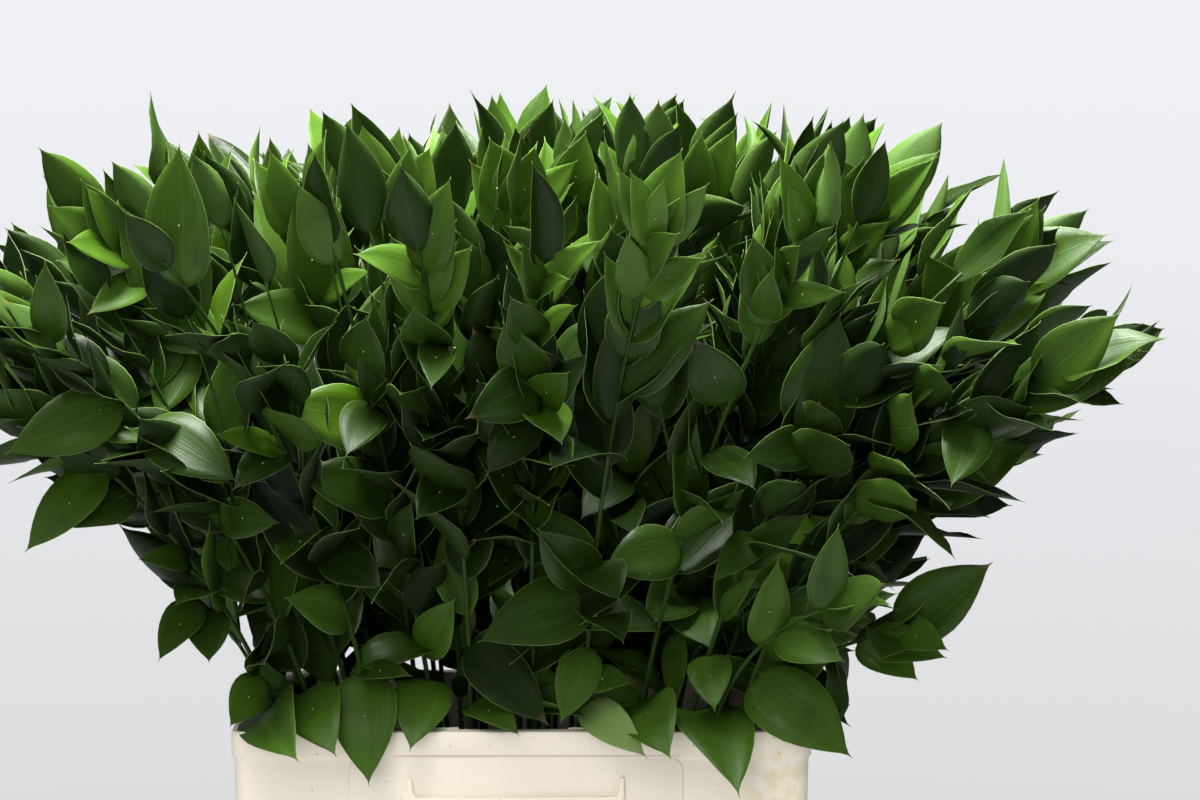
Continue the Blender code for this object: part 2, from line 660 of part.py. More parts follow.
def hole_shape(stem):
    """A prism round the stem's straight run that reaches past both faces of the water."""
    way = unit(stem["mouth"] - stem["foot"])
    ends = np.array([stem["foot"] - way * HOLE_BELOW, stem["foot"] + way * (WATER_DEPTH + HOLE_ABOVE)])
    radius = STEM_RADIUS_FOOT + HOLE_GAP
    return tube(ends, [radius, radius], stem_slant(stem))


def make_water(stems, material):
    rings = []
    for height in (FLOOR + GAP, FLOOR + WATER_DEPTH):
        rings.append(crate_ring(wall_inset(height) + WALL + GAP, CORNER_RADIUS - WALL - GAP, height))
    water = add_mesh("water", *loft(rings), material)
    close_skin(water)
    holes = []
    for number, stem in enumerate(stems):
        hole = add_mesh(f"hole_{number}", *hole_shape(stem))
        close_skin(hole)
        holes.append(hole)
    apply_boolean(water, holes, "DIFFERENCE")
    water.data.materials.clear()
    water.data.materials.append(material)


# Leaves


def blade_half_width(s):
    """A leaf's half width as a share of its widest, from root (0) to point (1)."""
    x = np.clip(s / BODY_END, 0, 1)
    body = x**WIDENING * (1 - x) ** NARROWING / BODY_SCALE
    point = POINT_WIDTH * np.clip((1 - s) / POINT_LENGTH, 0, 1) ** POINT_POWER
    stalk = STALK_WIDTH * np.sqrt(np.clip(1 - s, 0, 1))
    return (body**3 + point**3 + stalk**3) ** (1 / 3)


def blade_points(leaves, s, c, lift=0.0):
    """Points and normals of leaves at shares s of their length and c of their half width.

    Each leaf arches away from its face along a circle, rolls about its midrib, curls its sides up
    by a second circle and waves near its edges. lift moves the points along the normals.
    """
    base, way, face = (leaves[key][:, None] for key in ("base", "way", "face"))
    length, half, cup, twist, wave, phase = (
        leaves[key][:, None] for key in ("length", "half", "cup", "twist", "wave", "phase")
    )
    bend = leaves["bend"][:, None] + 1e-6
    s, c = s[None], c[None]
    turn = bend * s
    along = (length * np.sin(turn) / bend)[..., None] * way
    along = along - (length * (1 - np.cos(turn)) / bend)[..., None] * face
    face_here = np.cos(turn)[..., None] * face + np.sin(turn)[..., None] * way
    side = np.cross(face, way)
    roll = twist * s
    across = np.cos(roll)[..., None] * side + np.sin(roll)[..., None] * face_here
    up = np.cos(roll)[..., None] * face_here - np.sin(roll)[..., None] * side
    width = half * blade_half_width(s)
    arc = cup * c
    rise = width * (1 - np.cos(arc)) / cup
    rise = rise + wave * width * c * c * np.sin(2 * np.pi * (WAVES * s + phase) + WAVE_SKEW * c)
    normal = np.cos(arc)[..., None] * up - np.sin(arc)[..., None] * across
    reach = width * np.sin(arc) / cup
    points = base + along + reach[..., None] * across + rise[..., None] * up + lift * normal
    return points, normal


def wall_hits(points):
    """How many points lie in the crate's wall, its rim or just beside them."""
    x, y, z = np.abs(points[..., 0]), np.abs(points[..., 1]), points[..., 2]
    low = z < CRATE_HEIGHT + WALL_LOW
    outer = (x < CRATE_LENGTH / 2 + WALL_CLEAR) & (y < CRATE_WIDTH / 2 + WALL_CLEAR)
    clear = RIM_WIDTH + MOUTH_CLEAR
    inner = (x < CRATE_LENGTH / 2 - clear) & (y < CRATE_WIDTH / 2 - clear)
    return (low & outer & ~inner).sum(-1)


def underside(points):
    """The height under which only leading leaves hang: it rises away from the crate's two ends."""
    x = points[..., 0]
    drop = np.where(points[..., 1] < 0, FRONT_DROP, BACK_DROP)
    left, right = (height + slope * (x - place) for height, place, slope in (LEFT_RISE, RIGHT_RISE))
    rise = np.where(x < 0, left, right)
    return CRATE_HEIGHT + np.where(np.abs(x) > CRATE_LENGTH / 2, np.maximum(rise, -drop), -drop)


def distances(a, b):
    squares = (a * a).sum(-1)[:, None] + (b * b).sum(-1)[None] - 2 * a @ b.T
    return np.sqrt(np.maximum(squares, 0))


def trial_leaves(stem, k, t, last, rng):
    """Some ways that leaf k could grow from its stem or shoot at t, and how far each is off its spiral."""
    base, tau = stem_point(stem, t), stem_way(stem, t)
    mouth_x, mouth_y = stem["place"]
    low = "start" not in stem and t * stem["reach"] < SKIRT_REACH
    t = mix(stem.get("start", 0.0), 1.0, t)
    edge = min(1.0, max(abs(mouth_x), abs(mouth_y)) ** 3)
    outward = np.array([mouth_x * abs(mouth_x) ** 3, mouth_y * abs(mouth_y) ** 3, 0.0]) + OUTWARD_LEAST
    outward = unit(outward - tau * (outward @ tau))
    sideways = np.cross(tau, outward)
    planned = stem["turn"] + GOLDEN_TURN * k
    azimuth = planned + rng.uniform(-TURN_VARIES, TURN_VARIES, TRIALS)
    azimuth = azimuth - LIGHT_PULL * min(1.0, abs(mouth_y) ** 3) * np.sin(azimuth)
    kind = None
    if low and abs(mouth_y) > SKIRT_FROM and mouth_x > -END_PLACE:
        kind = SKIRT if mouth_y < 0 else SCREEN
        swing = kind["swing"] if k % 2 else -kind["swing"]
        azimuth = swing + rng.uniform(-kind["spread"], kind["spread"], TRIALS)
        planned = azimuth
    outer = np.cos(azimuth)
    loose = (1 - t) * edge
    pitch = mix(PITCH_LOW, PITCH_TIP, t**PITCH_POWER) + OUTER_DROOP * outer * loose
    pitch = pitch + rng.uniform(-PITCH_VARIES, PITCH_VARIES, TRIALS)
    if last:
        pitch = rng.uniform(*PITCH_LAST, TRIALS)
    if kind:
        pitch = rng.uniform(*kind["pitch"], TRIALS)
    pitch = np.radians(pitch)
    radial = np.cos(azimuth)[:, None] * outward + np.sin(azimuth)[:, None] * sideways
    way = np.cos(pitch)[:, None] * tau + np.sin(pitch)[:, None] * radial
    way[:, 2] -= SAG * loose * np.maximum(outer, 0)
    way = unit(way)
    face = unit(tau - way * (way @ tau)[:, None])
    light = unit(base - LIGHT_FROM)
    light = light - way * (way @ light)[:, None]
    light = light * np.where((light * face).sum(-1) < 0, -1, 1)[:, None]
    face = unit(face + rng.uniform(*(kind["pull"] if kind else FACE_PULL), TRIALS)[:, None] * light)
    upper = np.clip((t - LENGTH_FROM) / (1 - LENGTH_FROM), 0, 1) ** LENGTH_POWER
    length = mix(LEAF_LENGTH_LOW, LEAF_LENGTH_TIP, upper) * rng.uniform(*LENGTH_VARIES)
    half = length * LEAF_SHAPE * rng.uniform(*WIDTH_VARIES)
    bend = mix(BEND_LOW, BEND_TIP, t) + OUTER_DROOP * outer * loose + rng.normal(0, BEND_VARIES, TRIALS)
    if kind:
        bend = rng.uniform(*kind["bend"], TRIALS)
    leaves = {
        "base": np.repeat(base[None], TRIALS, 0),
        "way": way,
        "face": face,
        "length": np.full(TRIALS, length),
        "half": np.full(TRIALS, half),
        "bend": np.radians(bend),
        "cup": np.full(TRIALS, abs(rng.normal(CUP, CUP_VARIES)) + CUP_LEAST),
        "twist": np.radians(rng.normal(0, TWIST_VARIES, TRIALS)),
        "wave": np.full(TRIALS, rng.uniform(*WAVE)),
        "phase": np.full(TRIALS, rng.uniform(0, 1)),
    }
    return leaves, TURN_COST * np.abs(azimuth - planned)


def seen(points, depth):
    """Where the sight line through each point crosses the upright plane at a depth."""
    return VIEWER + (points - VIEWER) * ((depth - VIEWER[1]) / (points[..., 1:2] - VIEWER[1]))


def leading_leaf(stems, row, rng):
    """One leaf of LEADING_LEAVES: it starts on the stem that shows nearest its root and ends on the
    sight line through its tip, far enough forwards to be a whole leaf and to clear the rim."""
    root_x, root_height, tip_x, tip_height, width = row
    front = -CRATE_WIDTH / 2
    root = np.array([root_x, front, CRATE_HEIGHT + root_height])
    tip = np.array([tip_x, front, CRATE_HEIGHT + tip_height])
    ts = np.linspace(*LEADING_FROM, 60)
    runs = np.array([stem_point(stem, ts) for stem in stems])
    hangs = tip_height < 0
    off = np.linalg.norm(seen(runs, front) - root, axis=-1)
    off = off + (HANGING_FRONT_FIRST if hangs else FRONT_FIRST) * runs[..., 1]
    number, place = np.unravel_index(np.argmin(off), off.shape)
    base = runs[number, place]
    if not hangs:
        tip = tip + TIP_FOLLOWS * (seen(base[None], front)[0] - root)
    bend = math.radians(rng.uniform(*LEADING_BEND) + (HANGING_BEND if hangs else 0))
    cup, twist = rng.uniform(*LEADING_CUP), rng.normal(0, LEADING_TWIST)
    wave, phase = rng.uniform(*LEADING_WAVE), rng.uniform()
    tilt = np.array([rng.uniform(*LEADING_TILT_X), -1.0, rng.uniform(*LEADING_TILT_Z)])
    nearest = base[1] - front + HANGING_FORWARDS if hangs else LEADING_FORWARDS
    for step in range(5):
        chord = seen(tip[None], base[1] - nearest - STEP_FORWARDS * step)[0] - base
        reach = np.linalg.norm(chord)
        chord = chord / reach
        face = unit(tilt - chord * (tilt @ chord))
        length = reach * (bend / 2) / math.sin(bend / 2)
        leaf = {
            "base": base,
            "way": math.cos(bend / 2) * chord + math.sin(bend / 2) * face,
            "face": math.cos(bend / 2) * face - math.sin(bend / 2) * chord,
            "length": length,
            "half": max(length, LEADING_NARROW) * LEAF_SHAPE * width,
            "bend": bend,
            "cup": cup,
            "twist": twist,
            "wave": wave,
            "phase": phase,
        }
        rows, sides = np.repeat(np.linspace(0.1, 1, 10), 3), np.tile([-1, 0, 1], 10)
        fine, _ = blade_points(as_arrays([leaf]), rows, sides)
        if length > LEADING_SHORT and not wall_hits(fine)[0]:
            break
    points, normals = blade_points(as_arrays([leaf]), FEEL_ROWS, FEEL_SIDES)
    leaf = leaf | {"stem": int(number), "t": float(ts[place]), "leading": True, "shoot": False}
    return leaf, points[0], normals[0]


def as_arrays(leaves):
    keys = ("base", "way", "face", "length", "half", "bend", "cup", "twist", "wave", "phase")
    return {key: np.array([leaf[key] for leaf in leaves]) for key in keys}


def hiding(points, shown):
    """How much each trial leaf would stand in front of the leading leaves."""
    flat = points.reshape(-1, 3)
    gaps = distances(seen(flat, 0.0)[:, ::2], seen(shown, 0.0)[:, ::2])
    before = flat[:, 1, None] < shown[None, :, 1]
    return (np.clip(1 - gaps / HIDING_NEAR, 0, 1) * before).sum(-1).reshape(len(points), -1).sum(-1)


def crowding(points, normals, others, other_normals):
    """How much each trial leaf runs into leaves that already grow there."""
    flat = points.reshape(-1, 3)
    gaps = distances(flat, others)
    close = np.clip(1 - gaps / CLOSE, 0, 1)
    touch = np.clip(1 - gaps / TOUCHING, 0, 1)
    cross = 1 - (normals.reshape(-1, 3) @ other_normals.T) ** 2
    return (close * cross + TOUCHING_COST * touch).sum(-1).reshape(len(points), -1).sum(-1)


def grow_leaves(stems, rng):
    """Every leaf of every stem, each in the least crowded of its trial places."""
    shoots = make_shoots(stems, rng)
    spacings = [LEAF_SPACING] * len(stems) + [SHOOT_SPACING] * len(shoots)
    axes = stems + shoots
    most = sum(int(round(stem["reach"] / gap)) for stem, gap in zip(axes, spacings)) + len(LEADING_LEAVES)
    taken = np.zeros((most, len(FEEL_ROWS), 3))
    taken_normals = np.zeros_like(taken)
    stalks = np.concatenate([stem_point(stem, np.linspace(0.0, 0.97, 44)) for stem in stems])
    grown = []
    for row in LEADING_LEAVES:
        leaf, taken[len(grown)], taken_normals[len(grown)] = leading_leaf(stems, row, rng)
        grown.append(leaf)
    shown = taken[: len(grown)].copy().reshape(-1, 3)
    limits = None
    for number, (stem, gap) in enumerate(zip(axes, spacings)):
        count = int(round(stem["reach"] / gap))
        shoot = number >= len(stems)
        power = 1 if shoot else CROWDING_UP_BEHIND if stem["place"][1] > BEHIND_FROM else CROWDING_UP
        lowest, run = SHOOT_LEAVES if shoot else STEM_LEAVES
        if shoot and limits is None:
            grown_points = taken[: len(grown)].reshape(-1, 3)
            limits = grown_points.min(0) + BOX_MARGIN, grown_points.max(0) - BOX_MARGIN
        for k in range(count):
            last = k == count - 1
            jitter = rng.uniform(-LEAF_JITTER, LEAF_JITTER) if 0 < k < count - 1 else 0
            t = min(lowest + run * ((k + jitter) / (count - 1)) ** power, TERMINAL)
            trials, cost = trial_leaves(stem, k, t, last, rng)
            points, normals = blade_points(trials, FEEL_ROWS, FEEL_SIDES)
            cost = cost + BARRED * (wall_hits(points) + (points[..., 2] < underside(points)).any(-1))
            if shoot:
                cost = cost + BARRED * ((points < limits[0]) | (points > limits[1])).any((1, 2))
            hidden = hiding(points, shown)
            cost = cost + hidden + BARRED * (hidden > MOST_HIDING) * (not last)
            middle = points[:, FEEL_MIDDLE].mean(0)
            near = ((taken[: len(grown), FEEL_MIDDLE] - middle) ** 2).sum(-1) < NEAR**2
            near = np.flatnonzero(near)
            if len(near):
                others = taken[near].reshape(-1, 3)
                cost = cost + crowding(points, normals, others, taken_normals[near].reshape(-1, 3))
            stalk = stalks[((stalks - middle) ** 2).sum(-1) < STALK_SEARCH**2]
            if len(stalk):
                gaps = distances(points.reshape(-1, 3), stalk)
                cost = cost + np.clip(1 - gaps / STALK_NEAR, 0, 1).sum(-1).reshape(TRIALS, -1).sum(-1)
            best = int(np.argmin(np.round(cost, 6)))
            if cost[best] >= BARRED:
                continue
            taken[len(grown)], taken_normals[len(grown)] = points[best], normals[best]
            leaf = {key: value[best] for key, value in trials.items()}
            owner = stem.get("stem", number)
            grown.append(leaf | {"stem": owner, "axis": stem, "t": t, "leading": False, "shoot": shoot})
    return grown, shoots


def leaf_shape(stem, leaf, thickness):
    """A closed blade with few faces, split alike on both sides and rooted in its stem's middle."""
    one = as_arrays([leaf])
    one["base"] = stalk_point(stem, leaf["t"])[None]
    true_size = leaf["leading"] or leaf["t"] >= TERMINAL
    one["length"] = one["length"] * (1.0 if true_size else SOLID_LENGTH)
    one["half"] = one["half"] * (SOLID_TIP_WIDTH if true_size else SOLID_WIDTH)
    s = np.concatenate([[ROOT], np.repeat(BLADE_ROWS, 2), [1.0]])
    c = np.concatenate([[0.0], np.tile([-1.0, 1.0], len(BLADE_ROWS)), [0.0]])
    top, _ = blade_points(one, s, c, thickness / 2)
    under, _ = blade_points(one, s, c, -thickness / 2)
    count = len(s)
    split = [(0, 2, 1)]
    for row in range(len(BLADE_ROWS) - 1):
        a, b, d, e = (2 * row + i for i in range(1, 5))
        split += [(a, b, e), (a, e, d)]
    split.append((count - 3, count - 2, count - 1))
    faces = split + [tuple(count + i for i in face[::-1]) for face in split]
    border = [0] + list(range(2, count - 1, 2)) + [count - 1] + list(range(1, count - 1, 2))[::-1]
    for i, j in zip(border, border[1:] + border[:1]):
        faces += [(j, i, count + i), (j, count + i, count + j)]
    return np.vstack([top[0], under[0]]), faces


def tree_of(shape):
    points, faces = shape
    triangles = [(f[0], f[i], f[i + 1]) for f in faces for i in range(1, len(f) - 1)]
    return BVHTree.FromPolygons([tuple(map(float, p)) for p in points], triangles)


def outermost(leaves):
    """The leaf that reaches furthest along each axis, both ways."""
    points, _ = blade_points(as_arrays(leaves), FEEL_ROWS, FEEL_SIDES)
    ends = np.concatenate([points.min(1), -points.max(1)], axis=1)
    return [leaves[i] for i in dict.fromkeys(np.argmin(ends, axis=0).tolist())]


def pick_solid_leaves(stems, leaves, crate):
    """The leaves that the solids carry: the outermost, then for each stem its tip leaf and others at
    even heights, leading ones first. None of them crosses another piece."""
    corners = [vertex.co for vertex in crate.data.vertices]
    crate_tree = BVHTree.FromPolygons(corners, [tuple(face.vertices) for face in crate.data.polygons])
    stalk_trees = [tree_of(stalk_shape(stem)) for stem in stems]
    picked = [[] for _ in stems]
    kept = []

    def keep(leaf):
        if any(leaf is other for other in picked[leaf["stem"]]):
            return False
        tree = tree_of(leaf_shape(stems[leaf["stem"]], leaf, LEAF_THICKNESS + 2 * GAP))
        middle = leaf["base"] + leaf["way"] * leaf["length"] * 0.5
        others = [stalk for i, stalk in enumerate(stalk_trees) if i != leaf["stem"]]
        others += [other for other, place in kept if np.linalg.norm(place - middle) < NEAR]
        if any(tree.overlap(other) for other in [crate_tree] + others):
            return False
        picked[leaf["stem"]].append(leaf)
        kept.append((tree, middle))
        return True

    for leaf in outermost(leaves):
        keep(leaf)
    for turn in range(SOLID_LEAVES):
        centre = 1 - turn / (SOLID_LEAVES - 0.5)
        for number in range(len(stems)):
            own = [leaf for leaf in leaves if leaf["stem"] == number]
            window = [leaf for leaf in own if abs(leaf["t"] - centre) < SOLID_WINDOW / SOLID_LEAVES]
            window.sort(key=lambda leaf: (not leaf["leading"], -leaf["base"] @ leaf["way"]))
            for leaf in own[-1:] if turn == 0 else window:
                if len(picked[number]) > turn or keep(leaf):
                    break
    return picked


def make_stem(number, stem, leaves, material):
    stalk = add_mesh(f"stem_{number + 1:02d}", *stalk_shape(stem), material)
    close_skin(stalk)
    blades = []
    for k, leaf in enumerate(leaves):
        blade = add_mesh(f"blade_{k}", *leaf_shape(stem, leaf, LEAF_THICKNESS))
        close_skin(blade)
        blades.append(blade)
    apply_boolean(stalk, blades, "UNION")
    stalk.data.materials.clear()
    stalk.data.materials.append(material)


def main():
    clear_scene()
    cream = make_material("cream_plastic", CREAM, 0.45)
    green = make_material("leaf_green", LEAF_GREEN, 0.35)
    clear = make_material("water", WATER_TINT, 0.05)
    rng = np.random.default_rng(SEED)
    stems = make_stem_paths(rng)
    leaves = [leaf for leaf in grow_leaves(stems, rng)[0] if not leaf["shoot"]]
    crate = make_crate(cream)
    make_water(stems, clear)
    for number, (stem, own) in enumerate(zip(stems, pick_solid_leaves(stems, leaves, crate))):
        make_stem(number, stem, own, green)


main()
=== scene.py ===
"""The looks of a cream crate of fresh ruscus: every leaf and stalk in full, and the moulded crate.

Metres, +Z up, -Y is the front. The stems and leaves grow by the same seeded rule as the solids do.
"""

import math

import bpy
import numpy as np
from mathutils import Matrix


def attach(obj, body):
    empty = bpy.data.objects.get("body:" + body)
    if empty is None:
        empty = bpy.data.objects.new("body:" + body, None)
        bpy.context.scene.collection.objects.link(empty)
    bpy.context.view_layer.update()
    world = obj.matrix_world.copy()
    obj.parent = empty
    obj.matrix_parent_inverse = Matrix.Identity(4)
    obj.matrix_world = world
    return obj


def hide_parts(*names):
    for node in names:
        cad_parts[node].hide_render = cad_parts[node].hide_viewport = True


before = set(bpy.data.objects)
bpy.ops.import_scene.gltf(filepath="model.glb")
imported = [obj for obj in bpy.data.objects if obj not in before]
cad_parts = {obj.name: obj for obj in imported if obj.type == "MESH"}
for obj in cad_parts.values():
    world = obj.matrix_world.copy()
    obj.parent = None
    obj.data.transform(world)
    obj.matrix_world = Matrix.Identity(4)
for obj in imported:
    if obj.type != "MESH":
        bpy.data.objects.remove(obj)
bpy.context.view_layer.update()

# Crate: outer size at the rim, its slope and its walls
CRATE_LENGTH = 0.400
CRATE_WIDTH = 0.300
CRATE_HEIGHT = 0.360
WALL_SLOPE = math.tan(math.radians(1.2))
WALL = 0.0035
FLOOR = 0.004
CORNER_RADIUS = 0.011
MOUTH_CORNER_RADIUS = 0.042
RIM_WIDTH = 0.013
RIM_THICKNESS = 0.004
RIM_BAND = 0.018
RIM_PROUD = 0.0015
# The raised panel and label ledge on the two long sides
PANEL_WIDTH = 0.230
PANEL_DEPTH = 0.0012
PANEL_CORNER = 0.010
PANEL_FOOT = 0.030
PANEL_SHIFT = -0.004
LEDGE_WIDTH = 0.149
LEDGE_DROP = 0.045
LEDGE_HEIGHT = 0.070
LEDGE_DEPTH = 0.0045
GUSSET_WIDTH = 0.006
GUSSET_HEIGHT = 0.013
GAP = 0.0003
# Stems: a staggered grid of upright ones, and low sprays at the two ends
STEM_COLUMNS = 10
STEM_ROWS = 5
MOUTH_SPREAD = (0.166, 0.118)
FOOT_SHARE = 0.38
LOW_FOOT_SHARE = 0.58
FOOT_LIFT = 0.0018
REACH = 0.389
LEAN_LEFT, LEAN_RIGHT, LEAN_DEPTH = 39.0, 45.0, 27.0
LEAN_SIDE_POWER, LEAN_DEPTH_POWER = 1.30, 1.10
STAGGER = 0.25
COLUMN_JITTER, ROW_JITTER = 0.05, 0.09
GRID_ACROSS, GRID_ALONG = 0.92, 0.84
FURTHEST = 1.03
KNEE_SHARE, KNEE_JITTER = 0.5, 0.012
REACH_LESS, REACH_MORE = 0.035, 0.015
# The crown's outline: a dip in the middle and a rise to its right as (height, place, width), and the drop
# at the left and right ends
CROWN = 1.005
CROWN_DIP = (0.035, -0.06, 0.25)
CROWN_RISE = (0.055, 0.36, 0.28)
END_PLACE = 0.8
LEFT_DROP, RIGHT_DROP = 0.08, 0.09
STEM_RADIUS_FOOT, STEM_RADIUS_TIP = 0.0032, 0.0018
# Each low spray: place across and along the mouth, lean sideways and forwards in degrees, reach
LOW_SPRAYS = (
    (1.07, -0.72, 56.0, -20.0, 0.115),
    (1.07, -0.22, 43.0, -6.0, 0.265),
    (1.07, 0.70, 54.0, 16.0, 0.155),
    (0.80, -1.10, 40.0, -38.0, 0.140),
    (-1.07, -0.72, -30.0, -18.0, 0.110),
    (-1.07, 0.05, -30.0, 4.0, 0.140),
    (-1.07, 0.72, -30.0, 18.0, 0.150),
)
